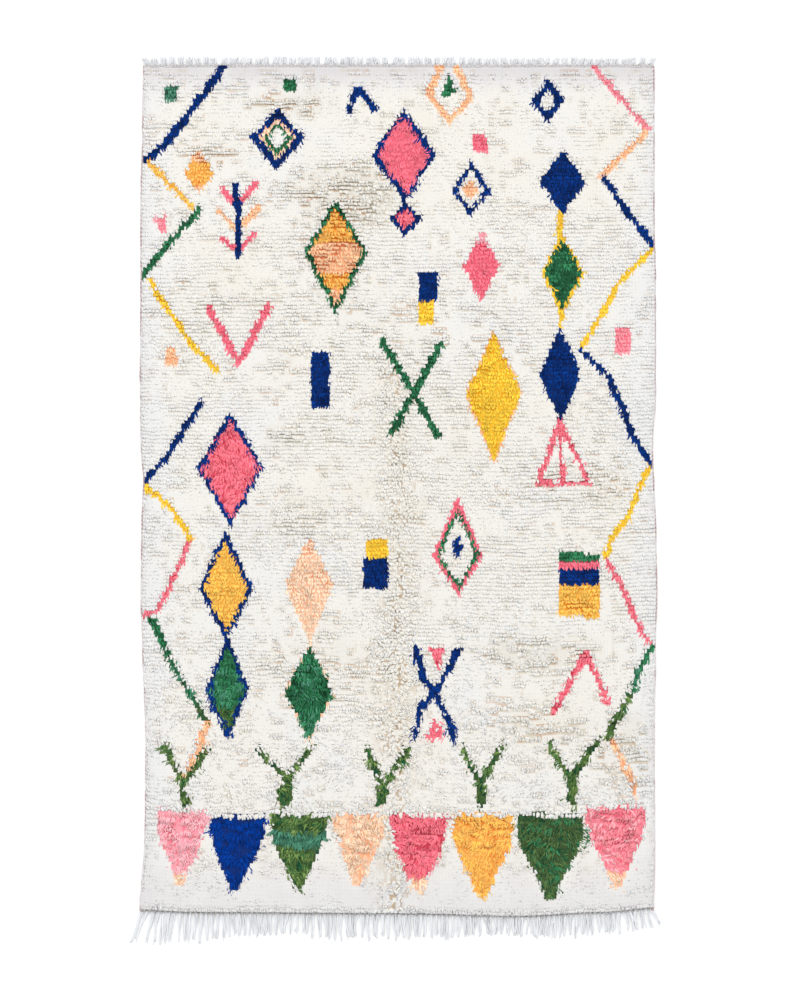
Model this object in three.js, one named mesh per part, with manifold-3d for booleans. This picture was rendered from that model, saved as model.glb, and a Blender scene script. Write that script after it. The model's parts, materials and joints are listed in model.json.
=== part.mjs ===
// A hand-knotted wool shag rug of the High Atlas kind, lying flat, pile up.
// Units are millimetres. X runs across the rug, Y along it towards the end with the short fringe, Z up.
// The origin is on the flat underside, in the middle of the knotted body.
import * as THREE from "three";
import { mergeVertices } from "three/addons/utils/BufferGeometryUtils.js";
import Module from "manifold-3d";

const wasm = await Module();
wasm.setup();

// Knotted body
const BODY_TOP_END = 1237; // Y where the pile ends at the short-fringed end
const BODY_BOTTOM_END = -1243; // Y where it ends at the long-fringed end, on the middle line
const PILE_TOP = 20; // height of the pile's surface over the floor
const PILE_LONGER = 3; // how much higher the long pile of the lower third stands
const LONG_PILE_FROM = -280; // Y where the long pile starts
const LONG_PILE_FULL = -700; // Y where it has reached its full height
const LUMP = 2; // lumps of the pile, above and below its mean height
// Wavelengths of the long waves in the pile, and how much they bend
const SWELL = { across: 520, along: 610, bendAcross: 1630, bendAlong: 1320, bend: 1.5 };
const RIM_WALL = 9; // height of the upright wall at the rim
const SHOULDER = 22; // how far inside the rim the pile reaches its full height
const CREASE_X = -2; // the pile parts along this line in the lower half
const CREASE_FROM = 470; // Y where the parting starts
const CREASE_FULL = 300; // Y where it has reached its full depth
const CREASE_DEPTH = 5;
const CREASE_HALF_WIDTH = 16;

// Where the side edges run: a row for each section, from the top end down
const SIDE_SECTIONS = [
  { y: 1237, left: -748, right: 748 },
  { y: 1130, left: -749, right: 749 },
  { y: 810, left: -755, right: 749 },
  { y: 600, left: -755, right: 753 },
  { y: 260, left: -757, right: 753 },
  { y: 130, left: -755, right: 744 },
  { y: 20, left: -747, right: 747 },
  { y: -110, left: -752, right: 754 },
  { y: -330, left: -755, right: 757 },
  { y: -450, left: -750, right: 753 },
  { y: -740, left: -740, right: 749 },
  { y: -1050, left: -742, right: 751 },
  { y: -1150, left: -752, right: 749 },
  { y: -1225, left: -758, right: 747 },
];

// How far the bottom edge rises above its middle: a row for each section across
const BOTTOM_SECTIONS = [
  { x: -760, rise: 10 },
  { x: -580, rise: 3 },
  { x: 0, rise: 0 },
  { x: 355, rise: -8 },
  { x: 590, rise: 3 },
  { x: 760, rise: 17 },
];

// Grid of the pile's surface
const EDGE_STEPS = [0, 8, SHOULDER]; // rows and columns near a rim, measured from it
const COLUMN_PITCH = 60;
const ROW_PITCH = 66;

// Strips that carry the fringes, and the strands
const SEAM_GAP = 0.3; // between the body and each strip
const STRIP_WIDTH = 9;
const STRIP_HEIGHT = 5;
const ROOT_DEPTH = 0.4; // share of the strip's width at which the strands start
const CLUSTER_LENGTH = 68; // strands gather into clusters about this far apart
const LEAN_SPREAD = 1.2; // how much each strand's lean differs from its neighbours'
const REACH_SPREAD = 0.16; // the largest share by which a strand is shorter than the rows below say
const TIP_DROP = 0.4; // share of a strand's height that is lost at its tip
const FRINGES = {
  top: { count: 60, rootHalfWidth: 4.6, tipHalfWidth: 6.2, height: 4.4, steps: 1, gather: 2.5, sway: 0 },
  bottom: { count: 96, rootHalfWidth: 4.6, tipHalfWidth: 3.9, height: 4.6, steps: 4, gather: 4, sway: 1.4 },
};
// How far the strands reach beyond the body's edge, and how far their tips lean along X
const TOP_REACH = [
  { x: -750, reach: 24, lean: -8 },
  { x: -690, reach: 28, lean: -2 },
  { x: -200, reach: 29, lean: 1 },
  { x: 180, reach: 27, lean: -1 },
  { x: 690, reach: 26, lean: 3 },
  { x: 750, reach: 24, lean: 9 },
];
const BOTTOM_REACH = [
  { x: -750, reach: 104, lean: -38 },
  { x: -705, reach: 106, lean: -12 },
  { x: -590, reach: 100, lean: -3 },
  { x: -480, reach: 78, lean: 4 },
  { x: -290, reach: 70, lean: -4 },
  { x: -190, reach: 88, lean: 4 },
  { x: 110, reach: 80, lean: -3 },
  { x: 290, reach: 64, lean: 3 },
  { x: 450, reach: 76, lean: -4 },
  { x: 620, reach: 74, lean: 4 },
  { x: 705, reach: 68, lean: 10 },
  { x: 750, reach: 62, lean: 30 },
];

// Locks of pile that stand out at the rim, and the least shares of their reach and width
const LEAST_PROUD = 0.35;
const LEAST_WIDTH = 0.7;
const LOCK_MARGIN = 0.02; // share of an end's width that stays free of locks at each corner
const LOCKS = {
  side: { count: 32, base: 2, inset: 12, proud: 6, halfWidth: 6, height: 8, drop: 7 },
  top: { count: 16, base: 8, inset: 14, proud: 5, halfWidth: 7, height: 7, drop: 0 },
  bottom: { count: 20, base: 7.5, inset: 16, proud: 7, halfWidth: 8, height: 8, drop: 0 },
};
// Shape of every lock: shares of its length, width and height, from inside the body to its tip
const LOCK_STEPS = [
  { along: 0, width: 1, height: 1 },
  { along: 0.6, width: 0.85, height: 0.9 },
  { along: 1, width: 0.35, height: 0.5 },
];

// Each kind of unevenness starts its own run of fractions here
const RUN = { spot: 3, lean: 7, proud: 17, width: 29, reach: 31, phase: 53 };

// A repeatable fraction from 0 to 1 for each whole number.
function fraction(number) {
  const spread = Math.sin(number * 12.9898 + 4.1414) * 43758.5453;
  return spread - Math.floor(spread);
}

// The value of a column at a place, eased between the rows of a table.
function between(rows, place, at, column) {
  const falling = rows[0][place] > rows[rows.length - 1][place];
  const sorted = falling ? [...rows].reverse() : rows;
  const last = sorted.length - 1;
  if (at <= sorted[0][place]) return sorted[0][column];
  if (at >= sorted[last][place]) return sorted[last][column];
  const upper = sorted.findIndex((row) => row[place] > at);
  const [low, high] = [sorted[upper - 1], sorted[upper]];
  const share = THREE.MathUtils.smoothstep(at, low[place], high[place]);
  return THREE.MathUtils.lerp(low[column], high[column], share);
}

const leftEdge = (y) => between(SIDE_SECTIONS, "y", y, "left");
const rightEdge = (y) => between(SIDE_SECTIONS, "y", y, "right");
const bottomEdge = (x) => BODY_BOTTOM_END + between(BOTTOM_SECTIONS, "x", x, "rise");

// Height of the pile's surface: long waves, lumps, the higher pile of the lower third and the parting.
function pileHeight(x, y, lump) {
  const turn = 2 * Math.PI;
  const acrossBend = SWELL.bend * Math.sin((turn * y) / SWELL.bendAlong);
  const alongBend = SWELL.bend * Math.sin((turn * x) / SWELL.bendAcross);
  const acrossWave = Math.sin((turn * x) / SWELL.across + acrossBend);
  const alongWave = Math.cos((turn * y) / SWELL.along + alongBend);
  const longer = THREE.MathUtils.smoothstep(-y, -LONG_PILE_FROM, -LONG_PILE_FULL);
  const parted = THREE.MathUtils.smoothstep(-y, -CREASE_FROM, -CREASE_FULL);
  const trough = Math.exp(-(((x - CREASE_X) / CREASE_HALF_WIDTH) ** 2));
  const lumps = 0.5 * LUMP * (acrossWave * alongWave + lump);
  return PILE_TOP + lumps + PILE_LONGER * longer - CREASE_DEPTH * parted * trough;
}

// The rounded shoulder of the pile, from the rim's wall up to the full height.
function shoulder(height, inside) {
  const rest = 1 - Math.min(inside / SHOULDER, 1);
  return RIM_WALL + (height - RIM_WALL) * Math.sqrt(1 - rest * rest);
}

// Distances from one edge to the other, closer together at both ends and at the extra places named.
function stations(length, pitch, middle = []) {
  const inner = EDGE_STEPS[EDGE_STEPS.length - 1];
  const stops = [inner, ...middle.map((offset) => length / 2 + offset), length - inner];
  const found = [...EDGE_STEPS];
  for (let i = 1; i < stops.length; i++) {
    const span = stops[i] - stops[i - 1];
    const steps = Math.max(1, Math.round(span / pitch));
    for (let k = 1; k <= steps; k++) found.push(stops[i - 1] + (span * k) / steps);
  }
  return [...found, ...EDGE_STEPS.slice(0, -1).reverse().map((step) => length - step)];
}

// A closed solid from points and faces whose corners run anticlockwise seen from outside.
function solidFrom(points, faces) {
  return new wasm.Manifold(
    new wasm.Mesh({
      numProp: 3,
      vertProperties: new Float32Array(points.flat()),
      triVerts: new Uint32Array(faces.flat()),
    }),
  );
}

// A mesh with its own material, from a solid whose doubled vertices are merged.
function meshFrom(name, solid, material) {
  const { vertProperties, triVerts } = solid.getMesh();
  const geometry = new THREE.BufferGeometry();
  geometry.setAttribute("position", new THREE.BufferAttribute(vertProperties, 3));
  geometry.setIndex(new THREE.BufferAttribute(triVerts, 1));
  const merged = mergeVertices(geometry, 1e-3);
  merged.computeVertexNormals();
  const mesh = new THREE.Mesh(merged, material);
  mesh.name = name;
  return mesh;
}

// The places of the grid's columns across the bottom and top edges, as shares of the width.
const COLUMN_SHARES = stations(2 * Math.abs(SIDE_SECTIONS[0].left), COLUMN_PITCH, [
  -CREASE_HALF_WIDTH,
  0,
  CREASE_HALF_WIDTH,
]).map((place, i, all) => place / all[all.length - 1]);

// A point of the body's outline grid, from its share across and its share down from the top end.
function planPoint(across, down) {
  const middle = THREE.MathUtils.lerp(BODY_TOP_END, BODY_BOTTOM_END, down);
  const x = THREE.MathUtils.lerp(leftEdge(middle), rightEdge(middle), across);
  return { x, y: THREE.MathUtils.lerp(BODY_TOP_END, bottomEdge(x), down) };
}

// The slab: a lumpy top, an upright rim and a flat underside.
function slabSolid() {
  const length = BODY_TOP_END - BODY_BOTTOM_END;
  const downs = stations(length, ROW_PITCH).map((place) => place / length);
  const columns = COLUMN_SHARES.length;
  const points = [];
  const faces = [];
  downs.forEach((down, row) =>
    COLUMN_SHARES.forEach((across, column) => {
      const { x, y } = planPoint(across, down);
      const width = rightEdge(y) - leftEdge(y);
      const inside = Math.min(across * width, (1 - across) * width, down * length, (1 - down) * length);
      const lump = 2 * fraction(row * columns + column) - 1;
      points.push([x, y, shoulder(pileHeight(x, y, lump), inside)]);
    }),
  );
  for (let row = 1; row < downs.length; row++)
    for (let column = 1; column < columns; column++) {
      const here = row * columns + column;
      const above = here - columns;
      faces.push([above - 1, here - 1, here], [above - 1, here, above]);
    }
  const rim = [];
  for (let column = 0; column < columns - 1; column++) rim.push(column);
  for (let row = 0; row < downs.length - 1; row++) rim.push((row + 1) * columns - 1);
  for (let column = columns - 1; column > 0; column--) rim.push((downs.length - 1) * columns + column);
  for (let row = downs.length - 1; row > 0; row--) rim.push(row * columns);
  const floor = points.length;
  rim.forEach((top) => points.push([points[top][0], points[top][1], 0]));
  rim.forEach((top, i) => {
    const next = (i + 1) % rim.length;
    faces.push([top, rim[next], floor + next], [top, floor + next, floor + i]);
  });
  const outline = rim.map((top) => new THREE.Vector2(points[top][0], points[top][1]));
  for (const corners of THREE.ShapeUtils.triangulateShape(outline, [])) {
    const [a, b, c] = corners.map((corner) => outline[corner]);
    const facesUp = (b.x - a.x) * (c.y - a.y) - (b.y - a.y) * (c.x - a.x) > 0;
    faces.push((facesUp ? [...corners].reverse() : corners).map((corner) => floor + corner));
  }
  return solidFrom(points, faces);
}

// A strand or lock of three sides: a flat base, and a ridge that falls towards the tip.
// path holds the middle of the base at each step, with its half width and height there.
function strandSolid(path) {
  const points = path.flatMap(({ at, halfWidth, height }, i) => {
    const before = path[Math.max(i - 1, 0)].at;
    const after = path[Math.min(i + 1, path.length - 1)].at;
    const along = new THREE.Vector2(after.x - before.x, after.y - before.y).normalize();
    const side = new THREE.Vector2(-along.y, along.x).multiplyScalar(halfWidth);
    return [
      [at.x + side.x, at.y + side.y, at.z],
      [at.x - side.x, at.y - side.y, at.z],
      [at.x, at.y, at.z + height],
    ];
  });
  const faces = [[0, 1, 2]];
  for (let step = 1; step < path.length; step++) {
    const [here, last] = [3 * step, 3 * step - 3];
    for (let corner = 0; corner < 3; corner++) {
      const next = (corner + 1) % 3;
      faces.push([last + corner, here + corner, here + next], [last + corner, here + next, last + next]);
    }
  }
  const tip = points.length - 3;
  faces.push([tip + 1, tip, tip + 2]);
  return solidFrom(points, faces);
}

// The strip along an end of the body, a seam's gap outside it. side is 1 at the top end and -1 at the bottom.
function stripSolid(edge, side) {
  const points = COLUMN_SHARES.flatMap((share) => {
    const { x, y } = edge(share);
    const near = y + side * SEAM_GAP;
    const far = near + side * STRIP_WIDTH;
    return [
      [x, near, 0],
      [x, near, STRIP_HEIGHT],
      [x, far, STRIP_HEIGHT],
      [x, far, 0],
    ];
  });
  const faces = [[0, 1, 2], [0, 2, 3]];
  for (let i = 1; i < COLUMN_SHARES.length; i++) {
    const [here, last] = [4 * i, 4 * i - 4];
    for (let corner = 0; corner < 4; corner++) {
      const next = (corner + 1) % 4;
      faces.push([last + corner, here + next, last + next], [last + corner, here + corner, here + next]);
    }
  }
  const end = points.length - 4;
  faces.push([end, end + 2, end + 1], [end, end + 3, end + 2]);
  return solidFrom(points, side > 0 ? faces : faces.map((face) => [...face].reverse()));
}

// The strands of one fringe. Neighbours gather into clusters, and each has its own length and lean.
function fringeStrands(edge, side, reachRows, size) {
  const strands = [];
  for (let i = 0; i < size.count; i++) {
    const share = (i + 0.5) / size.count;
    const { x, y } = edge(share);
    const root = y + side * (SEAM_GAP + ROOT_DEPTH * STRIP_WIDTH);
    const reach = between(reachRows, "x", x, "reach") * (1 - REACH_SPREAD * fraction(i + RUN.reach));
    const gather = -size.gather * Math.sin((2 * Math.PI * x) / CLUSTER_LENGTH);
    const lean = between(reachRows, "x", x, "lean") + gather + LEAN_SPREAD * (fraction(i + RUN.lean) - 0.5);
    const phase = 2 * Math.PI * fraction(i + RUN.phase);
    const path = [];
    for (let step = 0; step <= size.steps; step++) {
      const t = step / size.steps;
      const sway = size.sway * Math.sin(Math.PI * t) * Math.sin(phase + 3 * t);
      path.push({
        at: new THREE.Vector3(x + lean * t + sway, THREE.MathUtils.lerp(root, y + side * reach, t), 0),
        halfWidth: THREE.MathUtils.lerp(size.rootHalfWidth, size.tipHalfWidth, t),
        height: size.height * (1 - TIP_DROP * t),
      });
    }
    strands.push(strandSolid(path));
  }
  return strands;
}

// One lock of pile: from inside the body out over its rim, a little past the edge.
function lockSolid(at, outward, size, i) {
  const proud = size.proud * THREE.MathUtils.lerp(LEAST_PROUD, 1, fraction(i + RUN.proud));
  const width = size.halfWidth * THREE.MathUtils.lerp(LEAST_WIDTH, 1, fraction(i + RUN.width));
  const start = new THREE.Vector3(at.x - outward.x * size.inset, at.y - outward.y * size.inset, size.base);
  const end = new THREE.Vector3(at.x + outward.x * proud, at.y + outward.y * proud - size.drop, size.base);
  const path = LOCK_STEPS.map((step) => ({
    at: start.clone().lerp(end, step.along),
    halfWidth: step.width * width,
    height: step.height * size.height,
  }));
  return strandSolid(path);
}

// Shares along an edge, one for each lock, unevenly placed.
function lockSpots({ count }) {
  return Array.from({ length: count }, (_, i) => (i + 0.25 + 0.5 * fraction(i + RUN.spot)) / count);
}

// The locks all round the rim.
function rimLocks() {
  const locks = [];
  lockSpots(LOCKS.side).forEach((down, i) => {
    const y = THREE.MathUtils.lerp(BODY_TOP_END - SHOULDER, BODY_BOTTOM_END + SHOULDER, down);
    locks.push(lockSolid({ x: leftEdge(y), y }, { x: -1, y: 0 }, LOCKS.side, i));
    locks.push(lockSolid({ x: rightEdge(y), y }, { x: 1, y: 0 }, LOCKS.side, i + LOCKS.side.count));
  });
  lockSpots(LOCKS.top).forEach((share, i) => {
    const across = THREE.MathUtils.lerp(LOCK_MARGIN, 1 - LOCK_MARGIN, share);
    locks.push(lockSolid(planPoint(across, 0), { x: 0, y: 1 }, LOCKS.top, i));
  });
  lockSpots(LOCKS.bottom).forEach((share, i) => {
    const across = THREE.MathUtils.lerp(LOCK_MARGIN, 1 - LOCK_MARGIN, share);
    locks.push(lockSolid(planPoint(across, 1), { x: 0, y: -1 }, LOCKS.bottom, i));
  });
  return locks;
}

const joined = (solids) => wasm.Manifold.union(solids);
const topEdgeAt = (share) => planPoint(share, 0);
const bottomEdgeAt = (share) => planPoint(share, 1);

const wool = new THREE.MeshStandardMaterial({ color: "#e9e5db", roughness: 0.95, metalness: 0 });
const warpYarnTop = new THREE.MeshStandardMaterial({ color: "#e6e7e6", roughness: 0.9, metalness: 0 });
const warpYarnBottom = new THREE.MeshStandardMaterial({ color: "#eceff1", roughness: 0.9, metalness: 0 });

const rug = new THREE.Group();
rug.add(meshFrom("pile_body", joined([slabSolid(), ...rimLocks()]), wool));
rug.add(
  meshFrom(
    "fringe_top",
    joined([stripSolid(topEdgeAt, 1), ...fringeStrands(topEdgeAt, 1, TOP_REACH, FRINGES.top)]),
    warpYarnTop,
  ),
);
rug.add(
  meshFrom(
    "fringe_bottom",
    joined([stripSolid(bottomEdgeAt, -1), ...fringeStrands(bottomEdgeAt, -1, BOTTOM_REACH, FRINGES.bottom)]),
    warpYarnBottom,
  ),
);

export default rug;
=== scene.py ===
# %% [markdown]
# # A knotted wool rug, strand by strand
# This lesson dresses one flat rug: an ivory High Atlas shag rug with coloured motifs and a fringe at each
# end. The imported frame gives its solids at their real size. Here the pile is made as tens of thousands of
# yarn ends, each a small rod that narrows to its root, and the woven ground, the selvedges and the fringes
# are made around them. Numpy works out every surface as whole arrays, so the code reads like the formulas
# that it uses. All lengths are in metres.

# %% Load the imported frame
import json
import math

import bpy
import numpy as np
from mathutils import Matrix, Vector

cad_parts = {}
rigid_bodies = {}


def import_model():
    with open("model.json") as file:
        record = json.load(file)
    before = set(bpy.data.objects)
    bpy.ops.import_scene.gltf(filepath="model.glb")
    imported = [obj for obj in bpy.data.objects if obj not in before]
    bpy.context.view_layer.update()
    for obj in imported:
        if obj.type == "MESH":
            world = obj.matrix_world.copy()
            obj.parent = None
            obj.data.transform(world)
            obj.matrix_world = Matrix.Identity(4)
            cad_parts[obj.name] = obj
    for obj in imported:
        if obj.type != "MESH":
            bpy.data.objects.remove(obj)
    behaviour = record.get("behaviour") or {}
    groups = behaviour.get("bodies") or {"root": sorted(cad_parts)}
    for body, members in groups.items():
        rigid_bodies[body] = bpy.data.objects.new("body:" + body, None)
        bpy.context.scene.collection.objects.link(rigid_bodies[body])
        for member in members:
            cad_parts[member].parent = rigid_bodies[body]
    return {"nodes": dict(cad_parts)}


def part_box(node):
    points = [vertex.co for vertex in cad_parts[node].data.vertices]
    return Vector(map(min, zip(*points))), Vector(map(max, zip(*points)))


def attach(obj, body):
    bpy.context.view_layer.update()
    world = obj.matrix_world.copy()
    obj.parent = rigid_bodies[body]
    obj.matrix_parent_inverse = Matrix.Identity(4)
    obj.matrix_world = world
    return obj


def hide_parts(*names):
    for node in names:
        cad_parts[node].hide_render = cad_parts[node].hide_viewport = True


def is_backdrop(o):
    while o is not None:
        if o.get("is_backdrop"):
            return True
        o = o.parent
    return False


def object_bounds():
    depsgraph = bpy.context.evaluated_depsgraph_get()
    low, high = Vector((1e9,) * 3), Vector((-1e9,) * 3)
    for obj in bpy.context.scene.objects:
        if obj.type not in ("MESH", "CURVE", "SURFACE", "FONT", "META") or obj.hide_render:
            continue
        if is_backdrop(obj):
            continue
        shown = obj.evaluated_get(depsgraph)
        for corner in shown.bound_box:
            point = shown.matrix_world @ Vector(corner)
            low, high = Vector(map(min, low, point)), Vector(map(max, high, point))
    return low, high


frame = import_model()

cad_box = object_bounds()
body_low, body_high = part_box("pile_body")
print("nodes in the frame:", sorted(frame["nodes"]))
print("knotted body, metres:", [round(high - low, 3) for low, high in zip(body_low, body_high)])

# %% [markdown]
# ## The camera
# The photograph looks straight down on the rug, from so far away that nothing is foreshortened. A long lens
# at the matching height gives that view. The height follows from the size of the rug in the picture: one
# pixel covers about 3 mm of pile.

# %% Camera above the rug
PICTURE_PX = (800, 1000)
ORIGIN_PX = (398.5, 488)  # where the middle of the rug lies in the picture
PIXEL = 0.002925  # metres of rug under one pixel
LENS_MM = 150
SENSOR_MM = 36
SEEN_PLANE = 0.018  # height of the pile that is seen at that scale

camera_data = bpy.data.cameras.new("camera_above")
camera_data.lens = LENS_MM
camera_data.sensor_width = SENSOR_MM
camera = bpy.data.objects.new("camera_above", camera_data)
bpy.context.scene.collection.objects.link(camera)
bpy.context.scene.camera = camera
camera_height = SEEN_PLANE + PICTURE_PX[1] * PIXEL * LENS_MM / SENSOR_MM
camera.location = (
    (PICTURE_PX[0] / 2 - ORIGIN_PX[0]) * PIXEL,
    (ORIGIN_PX[1] - PICTURE_PX[1] / 2) * PIXEL,
    camera_height,
)
print("camera height:", round(camera_height, 3))

# %% [markdown]
# ## Helpers for materials
# A material here is a short list of nodes. One function adds a node and joins it up, and a few more name the
# sums that come back often. Colours are written as they look in a picture, from 0 to 255, and turned into the
# linear values that the shader wants.


# %% Helpers for materials
MAP_NAME = "OFBake"  # the one map of each piece
NOISE_RANGE = (0.3, 0.7)  # where nearly all values of a noise lie


def linear(red, green, blue):
    """A picture's colour as the shader's: each channel is raised to the power of the sRGB curve."""
    share = np.array([red, green, blue]) / 255
    low, high = share / 12.92, ((share + 0.055) / 1.055) ** 2.4
    return (*np.where(share <= 0.04045, low, high).tolist(), 1.0)


def add_node(tree, kind, inputs, **fields):
    """A shader node of one kind. Each input, named or numbered, holds a value or another node's output."""
    node = tree.nodes.new(kind)
    for field, value in fields.items():
        setattr(node, field, value)
    for socket, value in inputs.items():
        if isinstance(value, bpy.types.NodeSocket):
            tree.links.new(value, node.inputs[socket])
        else:
            node.inputs[socket].default_value = value
    return node


def maths(tree, operation, first, second=0.0):
    """The output of one arithmetic node."""
    return add_node(tree, "ShaderNodeMath", {0: first, 1: second}, operation=operation).outputs[0]


def times(tree, first, second):
    """The product of two values."""
    return maths(tree, "MULTIPLY", first, second)


def spread(tree, value, low, high, to_low, to_high, curve="LINEAR"):
    """A value that runs from low to high, moved to run from to_low to to_high."""
    inputs = {"Value": value, "From Min": low, "From Max": high, "To Min": to_low, "To Max": to_high}
    return add_node(tree, "ShaderNodeMapRange", inputs, interpolation_type=curve).outputs["Result"]


def blend(tree, share, first, second):
    """A colour that lies this share of the way from the first to the second."""
    inputs = {"Factor": share, "A": first, "B": second}
    return add_node(tree, "ShaderNodeMix", inputs, data_type="RGBA").outputs["Result"]


def noise(tree, place, scale=1.0, detail=3.0):
    """A soft noise at each place."""
    inputs = {"Vector": place, "Scale": scale, "Detail": detail}
    return add_node(tree, "ShaderNodeTexNoise", inputs).outputs["Fac"]


def place_at(tree, x, y, z=0.0):
    """A place from its three parts."""
    return add_node(tree, "ShaderNodeCombineXYZ", {"X": x, "Y": y, "Z": z}).outputs[0]


def map_place(tree):
    """The place on the piece's own map, whole and as the way across and the way up."""
    place = add_node(tree, "ShaderNodeUVMap", {}, uv_map=MAP_NAME).outputs[0]
    parts = add_node(tree, "ShaderNodeSeparateXYZ", {"Vector": place}).outputs
    return place, parts["X"], parts["Y"]


def bands(tree, place, colours):
    """Equal bands of plain colour along a place from 0 to 1, one for each colour."""
    node = add_node(tree, "ShaderNodeValToRGB", {"Fac": place})
    ramp = node.color_ramp
    ramp.interpolation = "CONSTANT"
    ramp.elements[0].color = colours[0]
    ramp.elements[1].position = 1 / max(len(colours), 2)
    ramp.elements[1].color = colours[min(1, len(colours) - 1)]
    for number, colour in enumerate(colours[2:], start=2):
        ramp.elements.new(number / len(colours)).color = colour
    return node.outputs["Color"]


def new_material(name):
    """A material with its node tree and its shader."""
    material = bpy.data.materials.new(name)
    material.use_nodes = True
    return material, material.node_tree, material.node_tree.nodes["Principled BSDF"]


def finish_fibre(tree, shader, colour, light, fuzz, relief, roughness, bump, gloss, sheen):
    """Joins up the shader of a yarn or cloth: its colour times a light, a roughness that follows the fuzz
    within its range, a relief as a bump of some strength and depth, and the gloss and sheen of its fibres."""
    shaded = add_node(tree, "ShaderNodeHueSaturation", {"Color": colour, "Value": light})
    tree.links.new(shaded.outputs["Color"], shader.inputs["Base Color"])
    tree.links.new(spread(tree, fuzz, *NOISE_RANGE, *roughness), shader.inputs["Roughness"])
    strength, depth = bump
    raised = add_node(tree, "ShaderNodeBump", {"Height": relief, "Strength": strength, "Distance": depth})
    tree.links.new(raised.outputs["Normal"], shader.inputs["Normal"])
    shader.inputs["Specular IOR Level"].default_value = gloss
    shader.inputs["Sheen Weight"].default_value = sheen


print("materials read the map", MAP_NAME)

# %% [markdown]
# ## Floor and light
# The rug lies on a plain pale floor. A wide soft lamp stands over the short-fringed end, as in a studio, and
# a white sky fills the shadows, so the tufts keep a little shade between them and no hard edge falls on the
# floor.

# %% Floor and light
FLOOR_SIZE = 30
FLOOR_DROP = 0.0004  # keeps the floor's face just clear of the rug's underside
FLOOR_WHITES = (250, 253)
FLOOR_ROUGHNESS = 0.9
LAMP = dict(place=(-0.6, 3.0, 7.0), size=4.0, power=130)
SKY = 1.06

floor_mesh = bpy.data.meshes.new("floor")
reach = FLOOR_SIZE / 2
floor_corners = [(-reach, -reach), (reach, -reach), (reach, reach), (-reach, reach)]
floor_mesh.from_pydata([(x, y, -FLOOR_DROP) for x, y in floor_corners], [], [(0, 1, 2, 3)])
floor = bpy.data.objects.new("floor", floor_mesh)
bpy.context.scene.collection.objects.link(floor)
floor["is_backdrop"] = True

floor_material, tree, shader = new_material("floor_paint")
floor_place = add_node(tree, "ShaderNodeTexCoord", {}).outputs["Object"]
whites = [linear(white, white, white) for white in FLOOR_WHITES]
pale = blend(tree, noise(tree, floor_place, 3.0, 4.0), *whites)
tree.links.new(pale, shader.inputs["Base Color"])
shader.inputs["Roughness"].default_value = FLOOR_ROUGHNESS
floor_mesh.materials.append(floor_material)

lamp_data = bpy.data.lights.new("studio_lamp", "AREA")
lamp_data.size = LAMP["size"]
lamp_data.energy = LAMP["power"]
lamp = bpy.data.objects.new("studio_lamp", lamp_data)
lamp.location = LAMP["place"]
lamp.rotation_euler = (-lamp.location).to_track_quat("-Z", "Y").to_euler()
bpy.context.scene.collection.objects.link(lamp)

world = bpy.data.worlds.new("white_sky")
world.use_nodes = True
world.node_tree.nodes["Background"].inputs["Color"].default_value = (1, 1, 1, 1)
world.node_tree.nodes["Background"].inputs["Strength"].default_value = SKY
bpy.context.scene.world = world
bpy.context.scene.view_settings.view_transform = "Standard"
print("lamp watts:", LAMP["power"], "sky strength:", SKY)

# %% [markdown]
# ## Soft random hills
# Hand-made pile is uneven at several scales: single ends, tufts that cling together, and broad swirls where
# people walked. All of these come from one function, a lattice of random numbers with eased slopes in
# between. Each kind of hill has a name, with its own pitch, height and seed, so the rug is the same every
# time.


# %% Helpers for unevenness
LATTICE = 512


def ease(share):
    """A share from 0 to 1 with level ends: three times its square less twice its cube."""
    share = np.clip(share, 0, 1)
    return share * share * (3 - 2 * share)


def mix(low, high, share):
    """The value that lies this share of the way from low to high."""
    return low + (high - low) * share


def close_to(distance, full, fade):
    """One up to a distance, and none past the fade beyond it, eased in between."""
    return 1 - ease((distance - full) / fade)


def hills(x, y, pitch, seed, height=1.0):
    """Soft hills up to a height and as deep: random heights at the corners of a lattice, eased in between."""
    heights = np.random.default_rng(seed).uniform(-1, 1, (LATTICE, LATTICE))
    across, up = x / pitch + LATTICE / 2, y / pitch + LATTICE / 2
    column, row = np.floor(across).astype(int), np.floor(up).astype(int)
    right, top = ease(across - column), ease(up - row)
    corner = {
        (i, j): heights[(row + j) % LATTICE, (column + i) % LATTICE] for i in (0, 1) for j in (0, 1)
    }
    return height * mix(mix(corner[0, 0], corner[1, 0], right), mix(corner[0, 1], corner[1, 1], right), top)


def unit(vectors):
    """The same directions with a length of one."""
    return vectors / np.maximum(np.linalg.norm(vectors, axis=-1, keepdims=True), 1e-12)


print("lattice of", LATTICE, "by", LATTICE)

# %% [markdown]
# ## The outline
# No side of the rug is straight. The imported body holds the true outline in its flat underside, so it is read
# from there: the rim's points, sorted along each side, with a straight line between neighbours.

# %% Outline of the knotted body
SIDE_LIMIT = 1.2  # the side edges are read between these ends, and the corners are added to them
CORNER_MARGIN = 0.01
ON_FLOOR = 1e-5

body_mesh = frame["nodes"]["pile_body"].data
body_points = np.zeros(len(body_mesh.vertices) * 3, np.float32)
body_mesh.vertices.foreach_get("co", body_points)
body_points = np.unique(body_points.reshape(-1, 3).astype(float).round(6), axis=0)
rim = body_points[body_points[:, 2] < ON_FLOOR, :2]
corner_at = {
    "bottom_left": rim[np.argmin(rim[:, 0] + rim[:, 1])],
    "top_left": rim[np.argmin(rim[:, 0] - rim[:, 1])],
    "bottom_right": rim[np.argmax(rim[:, 0] - rim[:, 1])],
    "top_right": rim[np.argmax(rim[:, 0] + rim[:, 1])],
}
top_end = corner_at["top_left"][1]


def sorted_edge(chosen, ends, along):
    """The chosen points of the rim and two corners, in order along one axis."""
    points = np.vstack([rim[chosen], *[corner_at[end][None] for end in ends]])
    return points[np.argsort(points[:, along])]


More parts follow.
